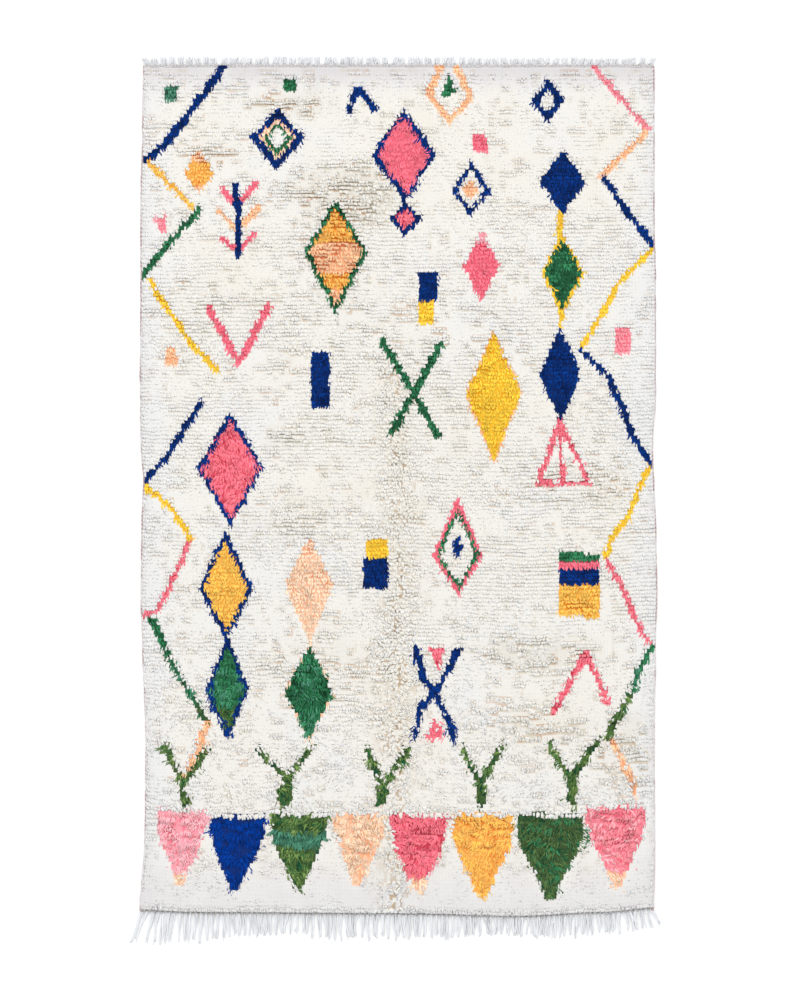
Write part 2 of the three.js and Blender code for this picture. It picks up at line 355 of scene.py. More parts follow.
beside = np.abs(rim[:, 1]) < SIDE_LIMIT
left_points = sorted_edge(beside & (rim[:, 0] < 0), ("bottom_left", "top_left"), 1)
right_points = sorted_edge(beside & (rim[:, 0] > 0), ("bottom_right", "top_right"), 1)
inner = np.abs(rim[:, 0]) < abs(corner_at["top_left"][0]) - CORNER_MARGIN
bottom_points = sorted_edge(inner & (rim[:, 1] < -SIDE_LIMIT), ("bottom_left", "bottom_right"), 0)


def left_edge(y):
    """Where the left side lies at a place along the rug."""
    return np.interp(y, left_points[:, 1], left_points[:, 0])


def right_edge(y):
    """Where the right side lies at a place along the rug."""
    return np.interp(y, right_points[:, 1], right_points[:, 0])


def bottom_edge(x):
    """Where the lower end lies at a place across the rug."""
    return np.interp(x, bottom_points[:, 0], bottom_points[:, 1])


def off_sides(x, y):
    """The way in from the nearer side."""
    return np.minimum(x - left_edge(y), right_edge(y) - x)


def plan(across, down):
    """A place in the outline: a share across from the left edge, and a share down from the top end."""
    middle = mix(top_end, bottom_edge(0.0), down)
    x = mix(left_edge(middle), right_edge(middle), across)
    return x, mix(top_end, bottom_edge(x), down)


width = right_edge(0.0) - left_edge(0.0)
length = top_end - bottom_edge(0.0)
print("body:", round(width, 3), "by", round(length, 3), "from", len(rim), "rim points")

# %% [markdown]
# ## The knots
# A weaver ties one knot after another on the warps, and a row of knots on each few picks of weft. The grid
# below is that work: about 160 knots across and 220 rows. It fills the outline and wanders a little, as rows
# beaten down by hand do. Everything later is counted from it: the motifs, the yarn ends and the cells of the
# ground.

# %% Grid of knots
KNOT_WIDTH = 0.0092
KNOT_HEIGHT = 0.0112
ROW_WANDER = dict(pitch=0.23, height=0.0035, seed=12)
ROW_RIPPLE = dict(pitch=0.04, height=0.0020, seed=13)
COLUMN_WANDER = dict(pitch=0.11, height=0.0015, seed=11)
QUIET_END = 0.06  # the wandering dies out this near an end

columns = round(width / KNOT_WIDTH)
rows = round(length / KNOT_HEIGHT)


def grid_place(across, down):
    """A place in the outline, with the rows and columns wandering by soft hills that are flat at the ends."""
    x, y = plan(across, down)
    free = ease(np.minimum(down, 1 - down) * length / QUIET_END)
    inside = ease(np.minimum(across, 1 - across) * width / QUIET_END)
    x = x + inside * hills(x, y, **COLUMN_WANDER)
    return x, y + free * (hills(x, y, **ROW_WANDER) + hills(x, y, **ROW_RIPPLE))


row_number, column_number = (n.ravel() for n in np.mgrid[0:rows, 0:columns])
knot_x, knot_y = grid_place((column_number + 0.5) / columns, (row_number + 0.5) / rows)
print("knots:", rows, "rows of", columns, "=", len(knot_x))

# %% [markdown]
# ## The yarns
# The yarns are a short list: each has a name, the record's material slot that it belongs to, the colour of
# its ends and a darker colour at its root, which is painted shade down at the knot. A slot may hold several
# near shades, because a weaver who runs out of one batch goes on with the next. The colours were set with mean
# colours of the photograph's areas at hand, and tuned until the same areas of the render came close.

# %% Yarn colours
YARNS = [
    ("white", "ivory_pile", (242, 242, 241), (236, 236, 234)),
    ("ivory", "ivory_pile", (247, 244, 238), (241, 237, 229)),
    ("cream", "ivory_pile", (245, 241, 231), (235, 227, 211)),
    ("silver", "ivory_pile", (233, 231, 231), (220, 217, 218)),
    ("ash", "ivory_pile", (225, 221, 222), (206, 203, 204)),
    ("dun", "ivory_pile", (231, 227, 216), (208, 198, 180)),
    ("navy", "navy_pile", (6, 48, 118), (3, 20, 62)),
    ("royal", "navy_pile", (2, 52, 134), (0, 22, 74)),
    ("rose", "rose_pile", (254, 128, 144), (184, 44, 68)),
    ("deep_rose", "rose_pile", (222, 68, 90), (150, 28, 48)),
    ("pink", "pink_pile", (252, 122, 142), (212, 66, 92)),
    ("mid_pink", "pink_pile", (252, 154, 165), (220, 88, 110)),
    ("light_pink", "pink_pile", (254, 190, 198), (228, 110, 130)),
    ("gold", "gold_pile", (255, 214, 62), (232, 156, 20)),
    ("amber", "gold_pile", (255, 204, 92), (228, 136, 34)),
    ("orange", "gold_pile", (255, 196, 96), (226, 124, 38)),
    ("rust", "gold_pile", (242, 160, 66), (204, 100, 24)),
    ("peach", "peach_pile", (255, 224, 194), (242, 152, 110)),
    ("apricot", "peach_pile", (255, 204, 160), (230, 128, 78)),
    ("green", "green_pile", (50, 118, 80), (14, 54, 32)),
    ("pine", "green_pile", (30, 90, 58), (6, 32, 20)),
    ("forest", "green_pile", (78, 105, 62), (26, 46, 22)),
    ("teal", "green_pile", (72, 127, 103), (24, 68, 54)),
    ("olive", "olive_pile", (82, 112, 62), (34, 52, 20)),
    ("moss", "olive_pile", (112, 136, 76), (52, 70, 28)),
]
YARN = {name: number for number, (name, _, _, _) in enumerate(YARNS)}
yarn_slots = [slot for _, slot, _, _ in YARNS]
slots = list(dict.fromkeys(yarn_slots))
shades_of = {slot: [n for n, other in enumerate(yarn_slots) if other == slot] for slot in slots}
tip_colours = np.array([linear(*tip) for _, _, tip, _ in YARNS])
# painted shade: each yarn's root colour is darker, for the shade deep in the pile
shaded_root_colours = np.array([linear(*root) for _, _, _, root in YARNS])
print(len(YARNS), "yarns in", len(slots), "slots")

# %% [markdown]
# ## The chart
# The motifs are the weaver's own trade: lozenges, zigzag borders, forks, carets, crosses and a row of
# pennants, which belong to the common stock of High Atlas rugs. Their corners were read off the photograph by
# eye, a separate script turned those places into metres, and many were moved again after the render was held
# beside the photograph. The tables hold them as corners, sizes and widths in metres. Each shape is a test on
# the middle of a knot, so the edges come out stepped by one knot, as they do on the loom. The yarn ends lean
# down the rug, so a motif is seen a little lower than it is tied, and the chart is read where the ends are
# seen.

# %% Shapes of the chart
LYING_FROM, LYING_FULL = 0.28, 0.75  # distance below the middle where the pile starts and ends laying over
SEEN_LOWER, SEEN_LOWER_LAID = 0.008, 0.011  # how far below its knot an end is seen
UNEVEN_STROKE = dict(pitch=0.022, height=0.002, seed=14)  # a stroke is wider or narrower in places
PENNANT_SIDE = [
    (0, 1), (0.25, 0.97), (0.4, 0.85), (0.5, 0.74), (0.7, 0.47), (0.8, 0.34), (0.9, 0.23), (1, 0.17),
]


def laid_over(y):
    """How far the pile lies over, from 0 to 1: it eases in between two distances below the middle."""
    return ease((-y - LYING_FROM) / (LYING_FULL - LYING_FROM))


chart_x, chart_y = knot_x, knot_y - mix(SEEN_LOWER, SEEN_LOWER_LAID, laid_over(knot_y))
chart = np.full(len(knot_x), YARN["ivory"])
is_motif = np.zeros(len(knot_x), bool)


def paint(inside, yarn):
    """Ties the knots inside a shape in one yarn. None leaves them in the ground's ivory."""
    chart[inside] = YARN[yarn or "ivory"]
    is_motif[inside] = yarn is not None


def stroke(points, width):
    """Knots within half a width of a broken line, measured to the nearest point of each of its stretches."""
    nearest = np.full(len(chart_x), np.inf)
    for (x0, y0), (x1, y1) in zip(points[:-1], points[1:]):
        run_x, run_y = x1 - x0, y1 - y0
        share = ((chart_x - x0) * run_x + (chart_y - y0) * run_y) / (run_x**2 + run_y**2)
        share = np.clip(share, 0, 1)
        nearest = np.minimum(nearest, np.hypot(chart_x - x0 - share * run_x, chart_y - y0 - share * run_y))
    return nearest < width / 2 + hills(chart_x, chart_y, **UNEVEN_STROKE)


def block(left, right, low, high):
    """Knots inside a rectangle."""
    return (chart_x > left) & (chart_x < right) & (chart_y > low) & (chart_y < high)


def lozenge(x, y, left, right, up, down, share=1.0):
    """Knots where the share of the way out to a side tip plus that up or down to a point is under one."""
    out = np.abs(chart_x - x) / np.where(chart_x < x, left, right)
    rise = np.abs(chart_y - y) / np.where(chart_y > y, up, down)
    return out + rise < share


def triangle(left, right, base, apex):
    """Knots inside a triangle on a level base, which points up or down to the height of its apex."""
    rise = (chart_y - base) / (apex - base)
    return (rise > 0) & (np.abs(chart_x - (left + right) / 2) < (1 - rise) * (right - left) / 2)


def pennant(left, right, top, bottom, tip):
    """Knots inside a pennant: at each share of the way down, its sides keep a share of their way out from the
    tip. The sides hang almost straight at first, then run in to a narrow tail."""
    down = (top - chart_y) / (top - bottom)
    kept = np.interp(down, *np.array(PENNANT_SIDE).T)
    low, high = mix(tip, left, kept), mix(tip, right, kept)
    return (down > 0) & (down < 1) & (chart_x > low) & (chart_x < high)


def change_shade(left, right, low, high, old, new):
    """Ties the knots of an old yarn inside a rectangle in a new one."""
    paint(block(left, right, low, high) & (chart == YARN[old]), new)


# %% [markdown]
# The zigzag borders, the forks, the crosses and the tree are all strokes two or three knots wide. A row of
# the table names the yarn and the width, and lists the corners that the stroke runs through.

# %% Strokes
STROKES = [
    ("navy", 0.024, [(-0.510, 1.230), (-0.605, 1.105), (-0.680, 1.005), (-0.745, 0.955)]),
    ("amber", 0.018, [(-0.730, 0.950), (-0.605, 0.820)]),
    ("green", 0.020, [(-0.585, 0.810), (-0.755, 0.615)]),
    ("gold", 0.018, [(-0.730, 0.610), (-0.695, 0.545), (-0.590, 0.400), (-0.555, 0.370), (-0.530, 0.340)]),
    ("navy", 0.020, [(-0.575, 0.255), (-0.635, 0.160), (-0.670, 0.100), (-0.740, 0.020)]),
    ("gold", 0.018, [(-0.745, 0.005), (-0.670, -0.055), (-0.605, -0.155)]),
    ("rose", 0.017, [(-0.615, -0.165), (-0.640, -0.230), (-0.705, -0.360), (-0.755, -0.375)]),
    ("green", 0.020, [(-0.720, -0.390), (-0.680, -0.480), (-0.620, -0.590), (-0.590, -0.640)]),
    ("forest", 0.020, [(-0.590, -0.640), (-0.560, -0.695)]),
    ("apricot", 0.020, [(-0.560, -0.700), (-0.620, -0.845)]),
    ("mid_pink", 0.018, [(0.570, 1.225), (0.730, 1.050)]),
    ("apricot", 0.018, [(0.725, 1.040), (0.590, 0.905)]),
    ("navy", 0.021, [(0.605, 0.900), (0.655, 0.820), (0.745, 0.715)]),
    ("gold", 0.018, [(0.745, 0.700), (0.645, 0.600), (0.595, 0.505), (0.530, 0.405)]),
    ("navy", 0.020, [(0.535, 0.400), (0.615, 0.325), (0.650, 0.245), (0.685, 0.150), (0.740, 0.065)]),
    ("gold", 0.018, [(0.730, 0.055), (0.695, -0.025), (0.675, -0.080), (0.625, -0.150), (0.605, -0.205)]),
    ("rose", 0.017, [(0.610, -0.215), (0.650, -0.280), (0.675, -0.345), (0.710, -0.420), (0.740, -0.460)]),
    ("green", 0.022, [(0.745, -0.465), (0.705, -0.530), (0.670, -0.620)]),
    ("olive", 0.022, [(0.670, -0.620), (0.650, -0.660), (0.610, -0.735)]),
    ("apricot", 0.018, [(0.625, -0.745), (0.650, -0.800), (0.675, -0.850), (0.690, -0.900)]),
    ("navy", 0.020, [(-0.145, 1.095), (-0.120, 1.170), (-0.070, 1.105)]),
    ("rose", 0.022, [(0.455, -0.660), (0.550, -0.485), (0.610, -0.630)]),
    ("rose", 0.027, [(0.598, -0.600), (0.608, -0.628)]),
    ("pink", 0.018, [(-0.520, 0.880), (-0.470, 0.820), (-0.420, 0.885)]),
    ("apricot", 0.018, [(-0.525, 0.808), (-0.470, 0.754), (-0.410, 0.818)]),
    ("pink", 0.018, [(-0.520, 0.732), (-0.470, 0.686), (-0.425, 0.740)]),
    ("navy", 0.020, [(-0.475, 0.882), (-0.470, 0.682)]),
    ("pink", 0.023, [(-0.555, 0.525), (-0.465, 0.365), (-0.380, 0.530)]),
    ("green", 0.023, [(-0.045, 0.425), (0.115, 0.150)]),
    ("green", 0.023, [(0.125, 0.420), (-0.020, 0.160)]),
    ("apricot", 0.021, [(0.125, 1.230), (0.085, 1.150), (0.150, 1.075), (0.210, 1.145), (0.165, 1.230)]),
    ("gold", 0.018, [(0.475, 0.805), (0.475, 0.730)]),
    ("gold", 0.018, [(0.475, 0.515), (0.470, 0.460)]),
    ("rose", 0.018, [(0.411, 0.026), (0.472, 0.190), (0.552, 0.026)]),
    ("rose", 0.017, [(0.406, 0.010), (0.557, 0.010)]),
    ("rose", 0.016, [(0.472, 0.170), (0.477, 0.020)]),
    ("navy", 0.023, [(0.050, -0.470), (0.070, -0.565), (0.110, -0.595), (0.160, -0.735)]),
    ("navy", 0.023, [(0.175, -0.475), (0.125, -0.570), (0.110, -0.595), (0.070, -0.645), (0.045, -0.735)]),
    ("olive", 0.022, [(-0.680, -0.765), (-0.630, -0.870), (-0.560, -0.770)]),
    ("olive", 0.023, [(-0.630, -0.870), (-0.625, -0.930)]),
    ("olive", 0.022, [(-0.410, -0.775), (-0.330, -0.855), (-0.250, -0.765)]),
    ("olive", 0.042, [(-0.330, -0.872), (-0.335, -0.915)]),
    ("olive", 0.022, [(-0.090, -0.770), (-0.045, -0.885), (0.025, -0.770)]),
    ("olive", 0.036, [(-0.045, -0.890), (-0.050, -0.920)]),
    ("olive", 0.022, [(0.190, -0.770), (0.240, -0.870), (0.310, -0.750)]),
    ("olive", 0.026, [(0.240, -0.870), (0.240, -0.935)]),
    ("olive", 0.022, [(0.445, -0.755), (0.505, -0.855), (0.585, -0.740)]),
    ("olive", 0.028, [(0.505, -0.855), (0.510, -0.920)]),
]
for yarn, stroke_width, corners in STROKES:
    paint(stroke(corners, stroke_width), yarn)
print(len(STROKES), "strokes,", int(is_motif.sum()), "knots")

# %% [markdown]
# Lozenges are tied from the outline inwards. A row of the table gives the middle, the reach to the left,
# right, up and down, and the layers: a share of the full size and the yarn inside it. None stands for ivory,
# which leaves a hollow lozenge.

# %% Lozenges
LOZENGES = [
    (-0.585, 0.920, 0.042, 0.045, 0.075, 0.065, {1: "apricot"}),
    (-0.355, 1.023, 0.082, 0.085, 0.085, 0.104, {1: "navy", 0.67: "peach", 0.50: "green", 0.33: None}),
    (0.017, 0.970, 0.102, 0.100, 0.138, 0.132, {1: "navy", 0.82: "pink"}),
    (0.020, 0.788, 0.047, 0.050, 0.052, 0.055, {1: "navy", 0.6: "rose"}),
    (0.437, 1.130, 0.050, 0.050, 0.070, 0.072, {1: "navy", 0.46: None}),
    (0.211, 0.870, 0.058, 0.060, 0.083, 0.078, {1: "navy", 0.68: None, 0.40: "apricot"}),
    (-0.185, 0.687, 0.092, 0.095, 0.155, 0.183, {1: "green", 0.84: "peach"}),
    (0.242, 0.645, 0.053, 0.055, 0.108, 0.106, {1: "pink"}),
    (0.279, 0.275, 0.086, 0.084, 0.188, 0.212, {1: "apricot", 0.95: "gold"}),
    (0.480, 0.892, 0.072, 0.072, 0.095, 0.094, {1: "navy"}),
    (0.480, 0.630, 0.066, 0.066, 0.114, 0.132, {1: "gold", 0.84: "green"}),
    (0.473, 0.330, 0.064, 0.064, 0.139, 0.142, {1: "navy"}),
    (-0.492, 0.058, 0.100, 0.096, 0.168, 0.176, {1: "navy", 0.84: "rose"}),
    (-0.505, -0.298, 0.081, 0.081, 0.174, 0.152, {1: "navy", 0.82: "amber"}),
    (-0.502, -0.595, 0.064, 0.068, 0.166, 0.154, {1: "navy", 0.78: "green"}),
    (-0.260, -0.285, 0.075, 0.070, 0.142, 0.172, {1: "peach"}),
    (-0.260, -0.605, 0.080, 0.074, 0.152, 0.142, {1: "peach", 0.95: "green"}),
    (0.174, -0.197, 0.075, 0.072, 0.168, 0.124, {1: "pink", 0.84: "green", 0.68: None}),
    (0.175, -0.175, 0.017, 0.017, 0.042, 0.042, {1: "navy"}),
]
for *sizes, layers in LOZENGES:
    for share, yarn in layers.items():
        paint(lozenge(*sizes, share), yarn)
print(len(LOZENGES), "lozenges")

# %% [markdown]
# Some lozenges change shade on the way up, because the weaver went on with another batch of yarn. A change of
# shade is a band across a motif that is already tied: its left, right, lower and upper edge, and the two
# yarns.

# %% Changes of shade
SHADE_BANDS = [
    (-0.640, -0.520, 0.885, 0.948, "apricot", "orange"),
    (-0.290, -0.080, 0.715, 0.850, "peach", "orange"),
    (-0.290, -0.080, 0.580, 0.625, "peach", "orange"),
    (-0.290, -0.080, 0.625, 0.715, "peach", "apricot"),
    (-0.290, -0.080, 0.500, 0.580, "peach", "apricot"),
    (0.180, 0.310, 0.715, 0.760, "pink", "light_pink"),
    (-0.590, -0.420, -0.705, -0.648, "green", "olive"),
    (-0.590, -0.420, -0.760, -0.705, "green", "navy"),
]
for band in SHADE_BANDS:
    change_shade(*band)
print(len(SHADE_BANDS), "changes of shade")

# %% [markdown]
# Small blocks fill the spaces between the large motifs, each with its left, right, lower and upper edge.
# Three small triangles, each with its left, right, base and apex, sit in the cross and in the open lozenge at
# the top.

# %% Blocks and triangles
BLOCKS = [
    ("teal", -0.682, -0.644, 1.128, 1.172),
    ("green", -0.338, -0.300, 1.154, 1.200),
    ("light_pink", -0.722, -0.704, 0.765, 0.796),
    ("mid_pink", -0.704, -0.685, 0.750, 0.796),
    ("apricot", -0.686, -0.650, 0.356, 0.405),
    ("pink", 0.212, 0.262, 0.985, 1.030),
    ("mid_pink", 0.632, 0.682, 0.388, 0.465),
    ("navy", -0.258, -0.202, 0.230, 0.397),
    ("navy", 0.055, 0.113, 0.540, 0.632),
    ("gold", 0.057, 0.108, 0.470, 0.540),
    ("gold", -0.098, -0.036, -0.205, -0.148),
    ("navy", -0.104, -0.028, -0.302, -0.205),
    ("green", 0.472, 0.590, -0.219, -0.190),
    ("pink", 0.472, 0.590, -0.242, -0.219),
    ("navy", 0.472, 0.590, -0.288, -0.242),
    ("amber", 0.472, 0.590, -0.382, -0.288),
]
TRIANGLES = [
    ("green", 0.120, 0.176, 1.143, 1.210),
    ("rose", 0.088, 0.138, -0.468, -0.535),
    ("rose", 0.072, 0.140, -0.745, -0.675),
]
for yarn, *edges in BLOCKS:
    paint(block(*edges), yarn)
for yarn, *edges in TRIANGLES:
    paint(triangle(*edges), yarn)
print(len(BLOCKS), "blocks and", len(TRIANGLES), "triangles")

# %% [markdown]
# A row of eight pennants closes the field at the lower end, each with its left, right, top and bottom and the
# place of its tip. Three of them end in peach, and one has a teal band.

# %% Pennants
PENNANTS = [
    ("light_pink", -0.705, -0.562, -0.948, -1.170, -0.640),
    ("royal", -0.550, -0.388, -0.962, -1.190, -0.485),
    ("olive", -0.377, -0.205, -0.955, -1.182, -0.297),
    ("peach", -0.190, -0.040, -0.960, -1.175, -0.122),
    ("rose", -0.030, 0.142, -0.960, -1.185, 0.063),
    ("orange", 0.153, 0.340, -0.960, -1.206, 0.246),
    ("forest", 0.346, 0.542, -0.960, -1.210, 0.440),
    ("mid_pink", 0.550, 0.722, -0.935, -1.182, 0.640),
]
PENNANT_BANDS = [
    (-0.377, -0.205, -1.055, -1.010, "olive", "teal"),
    (-0.030, 0.142, -1.190, -1.140, "rose", "peach"),
    (0.550, 0.722, -1.190, -1.130, "mid_pink", "peach"),
    (-0.705, -0.562, -1.175, -1.130, "light_pink", "peach"),
]
for yarn, *edges in PENNANTS:
    paint(pennant(*edges), yarn)
for band in PENNANT_BANDS:
    change_shade(*band)
print(len(PENNANTS), "pennants; coloured knots in all:", int(is_motif.sum()))

# %% [markdown]
# ## How the pile is worn
# In some patches the rows part, and a thin line of the ground, sunk and painted a tan shade, shows between
# them. In the lower half a long parting runs down the middle, with the ends falling away from it to both sides
# and small pits between them, sunk and painted a brown shade. Elsewhere, and near both ends of the rug, the
# pile is felted smooth. These are fields over the rug, each worked out at any place from soft hills.

# %% Fields of wear
CREASE_X, CREASE_WIDTH = -0.002, 0.042
CREASE_FROM, CREASE_FULL = 0.47, 0.25  # the parting starts and is full at these places along the rug
CREASE_WANDER = dict(pitch=0.06, height=0.012, seed=22)
CREASE_PATCHES = dict(pitch=0.04, height=0.25, seed=23)
PATCH_RIM = (0.4, 0.9)  # a patch is full to this share of its size, and fades over this share more
CRACK_RUNS = dict(pitch=0.045, seed=25)  # the lengths of the cracks between two rows
CRACK_BREAKS = dict(pitch=0.018, height=0.7, seed=26)  # and of the breaks in them
CRACK_DRIFT = dict(pitch=0.2, height=0.2, seed=21)
CRACK_LEVEL, CRACK_LIFT, CRACK_EDGE = 0.60, 0.75, 0.4
FAINT = 0.4  # strength of a crack outside the patches
CRACK_FREE = (0.06, 0.17)  # no cracks this near the lower end, and few over this way more
FELT_PATCHES = dict(pitch=0.12, height=0.5, seed=52)
FELT_SPOTS = dict(pitch=0.05, height=0.25, seed=53)
FELT_TOP, FELT_BOTTOM = (0.14, 0.28), (0.15, 0.15)  # felted so near an end, fading over this way more
PITS = dict(pitch=0.0065, seed=27)
PIT_STRETCH, PIT_LEVEL, PIT_EDGE, PIT_REACH = 0.55, -0.15, 0.4, 1.5

# Patches where the rows part, placed from the photograph: the middle, a half width, a half height and how
# strongly they part
OPEN_PATCHES = [
    (-0.317, 1.120, 0.150, 0.040, 0.90), (-0.537, 0.974, 0.090, 0.040, 0.70),
    (-0.150, 0.857, 0.200, 0.110, 0.90), (-0.600, 0.560, 0.180, 0.120, 0.35),
    (-0.185, 0.690, 0.110, 0.180, 0.80), (-0.280, 0.158, 0.130, 0.045, 0.70),
    (-0.317, -0.100, 0.170, 0.080, 0.45), (0.507, 0.015, 0.220, 0.080, 0.65),
    (0.662, -0.752, 0.110, 0.130, 0.65), (0.414, -0.480, 0.220, 0.060, 0.80),
    (-0.150, -0.520, 0.300, 0.120, 0.50), (0.420, -0.700, 0.250, 0.080, 0.45),
    (0.000, 0.450, 0.450, 0.300, 0.30), (0.531, -0.345, 0.070, 0.050, 0.60),
    (-0.635, -1.000, 0.080, 0.080, 0.55), (-0.115, -1.030, 0.080, 0.080, 0.45),
    (0.060, -1.030, 0.100, 0.080, 0.60), (0.246, -1.000, 0.100, 0.060, 0.70),
    (0.636, -0.990, 0.100, 0.080, 0.70),
]


def parting(x, y):
    """How near a place is to the long parting, from 0 to 1, and the place's way off it, with its sign."""
    off = x - CREASE_X - hills(x * 0, y, **CREASE_WANDER)
    near = np.exp(-np.abs(off) / CREASE_WIDTH) * ease((CREASE_FROM - y) / (CREASE_FROM - CREASE_FULL))
    return near * (1 - CREASE_PATCHES["height"] + hills(x, y, **CREASE_PATCHES)), off


def openness(x, y):
    """How open the rows are, from 0 to 1: the highest of the patches, each eased out towards its rim."""
    lift = np.zeros(x.shape)
    for patch_x, patch_y, wide, high, opened in OPEN_PATCHES:
        off = np.hypot((x - patch_x) / wide, (y - patch_y) / high)
        lift = np.maximum(lift, opened * close_to(off, *PATCH_RIM))
    return lift * (1 - parting(x, y)[0])


def crack(x, y, row):
    """How far the pile parts below a row, from 0 to 1: hills along each row on its own, lifted where the rows
    are open and sunk elsewhere, so that the cracks are long in the patches and few and short outside."""
    lift = openness(x, y)
    run = hills(x, row * CRACK_RUNS["pitch"], **CRACK_RUNS)
    run = run + hills(x, row * CRACK_BREAKS["pitch"], **CRACK_BREAKS)
    level = run - CRACK_LEVEL + CRACK_LIFT * lift + hills(x, y, **CRACK_DRIFT)
    low_end = 1 - close_to(y - bottom_edge(x), *CRACK_FREE)
    return low_end * ease(level / CRACK_EDGE) * mix(FAINT, 1.0, lift)


def felt(x, y):
    """How smooth and matted the pile is, from 0 to 1: in broad and small patches, and near the two ends."""
    patches = np.clip(0.5 + hills(x, y, **FELT_PATCHES) + hills(x, y, **FELT_SPOTS), 0, 1)
    ends = close_to(top_end - y, *FELT_TOP) + close_to(y - bottom_edge(x), *FELT_BOTTOM)
    return np.clip(patches + ends, 0, 1)


def pit(x, y):
    """How deep the mat is under the parting and how strongly it is painted a brown shade, 0 to 1: the higher
    ones of narrow upright hills.
    """
    near, _ = parting(x, y)
    return ease(PIT_REACH * near) * ease((hills(x, y * PIT_STRETCH, **PITS) - PIT_LEVEL) / PIT_EDGE)


print(len(OPEN_PATCHES), "patches of open rows")

# %% [markdown]
# ## Where the yarn ends stand
# Each knot sends up two yarn ends. The motifs where long, fine hair shows have two more ends to a knot, and
# the first row has extra ends that lean out over the edge. Each end then strays a little from its seat in the
# knot, the dyed ones the most, and the ivory ones less where the rows are neat.

# %% Seats of the yarn ends
ENDS_PER_KNOT = 2
END_SPACING = 0.0046
JITTER_X, JITTER_Y = 0.0020, 0.0022  # how far an end strays from its seat
LOOSE_IVORY, LOOSE_IVORY_LAID = 0.60, 0.75  # the share of it for ivory ends, upright and laid over
LOOSE_PATCHES = dict(pitch=0.08, height=0.40, seed=24)
LOOSE_CREASE = 1.2  # and so much more along the parting
SHAGGY_FROM = 0.5  # where it lies over more than this, the dyed pile has twice the ends, and they are finer
LONG_HAIRED = [(-0.10, 0.12, 0.85, 1.10), (-0.60, -0.39, -0.12, 0.22)]  # and in these two lozenges
FINE_SPREAD, CRACK_TIDY = 1.4, 0.7  # fine ends spread over the row, and those at a crack stay in line
FINE_LIES = 0.6  # the fine ends lie over at least this far
SIDE_CLEARANCE = 0.0072  # room for the selvedge cord

draws = np.random.default_rng(2024)
long_haired = block(*LONG_HAIRED[0]) | block(*LONG_HAIRED[1])
shaggy = is_motif & ((laid_over(knot_y) > SHAGGY_FROM) | long_haired)
shaggy_knots = np.flatnonzero(shaggy)
top_knots = np.flatnonzero(row_number == 0)
all_knots = np.arange(len(knot_x))
seating = ((all_knots, [0, 1]), (shaggy_knots, [0.5, 1.5]), (top_knots, [0.25, 1.25]))
knot_of = np.concatenate([np.repeat(knots, ENDS_PER_KNOT) for knots, _ in seating])
seat = np.concatenate([np.tile(seats, len(knots)) for knots, seats in seating])
row_of = row_number[knot_of]
ends = len(knot_of)
is_dyed, is_fine = is_motif[knot_of], shaggy[knot_of]
leans_out = np.arange(ends) >= ends - ENDS_PER_KNOT * len(top_knots)

root_x = knot_x[knot_of] + END_SPACING * (seat - (ENDS_PER_KNOT - 1) / 2)
root_y = knot_y[knot_of].copy()
cracked = crack(root_x, root_y, row_of)
loose = mix(LOOSE_IVORY, LOOSE_IVORY_LAID, laid_over(root_y)) + hills(root_x, root_y, **LOOSE_PATCHES)
loose = np.where(is_dyed, 1.0, loose + LOOSE_CREASE * parting(root_x, root_y)[0])
root_x += JITTER_X * loose * draws.uniform(-1, 1, ends)
spread_y = np.where(is_fine, FINE_SPREAD, 1 - CRACK_TIDY * cracked)
root_y += JITTER_Y * loose * spread_y * draws.uniform(-1, 1, ends)
root_x = np.clip(root_x, left_edge(root_y) + SIDE_CLEARANCE, right_edge(root_y) - SIDE_CLEARANCE)

lying = np.maximum(laid_over(root_y), FINE_LIES * is_fine)
below_crack = crack(root_x, root_y, row_of - 1)
parted, from_crease = parting(root_x, root_y)
to_side = off_sides(root_x, root_y)
to_bottom = root_y - bottom_edge(root_x)
to_top = top_end - root_y
print("yarn ends:", ends, "share beside a crack:", round(float(cracked.mean()), 3))

# %% [markdown]
# ## The height of the pile
# Near the top of the rug the pile is short and nearly upright. Down the rug it grows longer and lies over.
# Its surface is a level with soft lumps, a little lower along the parting, and it follows the rounded
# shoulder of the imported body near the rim.

# %% Height of the pile
KNOT_TOP = 0.0075  # height of the knots on the woven ground
PILE_TOP, PILE_LONGER = 0.0205, 0.0025
PILE_LUMPS = dict(pitch=0.07, height=0.0016, seed=34)
CREASE_DEPTH = 0.0025
RIM_HEIGHT, SHOULDER = 0.010, 0.022


def pile_height(x, y):
    """Height of the pile's top: a level plus soft lumps, longer where it lies over, lower along the parting.
    Near the rim it follows a rounded shoulder: the root of one less the square of the share left to go in."""
    height = PILE_TOP + hills(x, y, **PILE_LUMPS) + PILE_LONGER * laid_over(y)
    height -= CREASE_DEPTH * parting(x, y)[0]
    inside = np.minimum(off_sides(x, y), np.minimum(y - bottom_edge(x), top_end - y))
    left = 1 - np.clip(inside / SHOULDER, 0, 1)
    return RIM_HEIGHT + (height - RIM_HEIGHT) * np.sqrt(1 - left * left)


print("pile height at the middle:", round(float(pile_height(np.zeros(1), np.zeros(1))[0]), 4))

# %% [markdown]
# ## From tip to root
# Each end is given three points: its tip, a belly where it is thickest, and its root in the knot. The tip's
# way over the floor is the reach times a direction. The direction is down the rug, turned by swirls of two
# sizes and by chance, and pushed sideways and tumbled at the parting. In the coloured motifs the ends swirl
# more, and they stand higher and lower in slanting ridges, which show as locks.

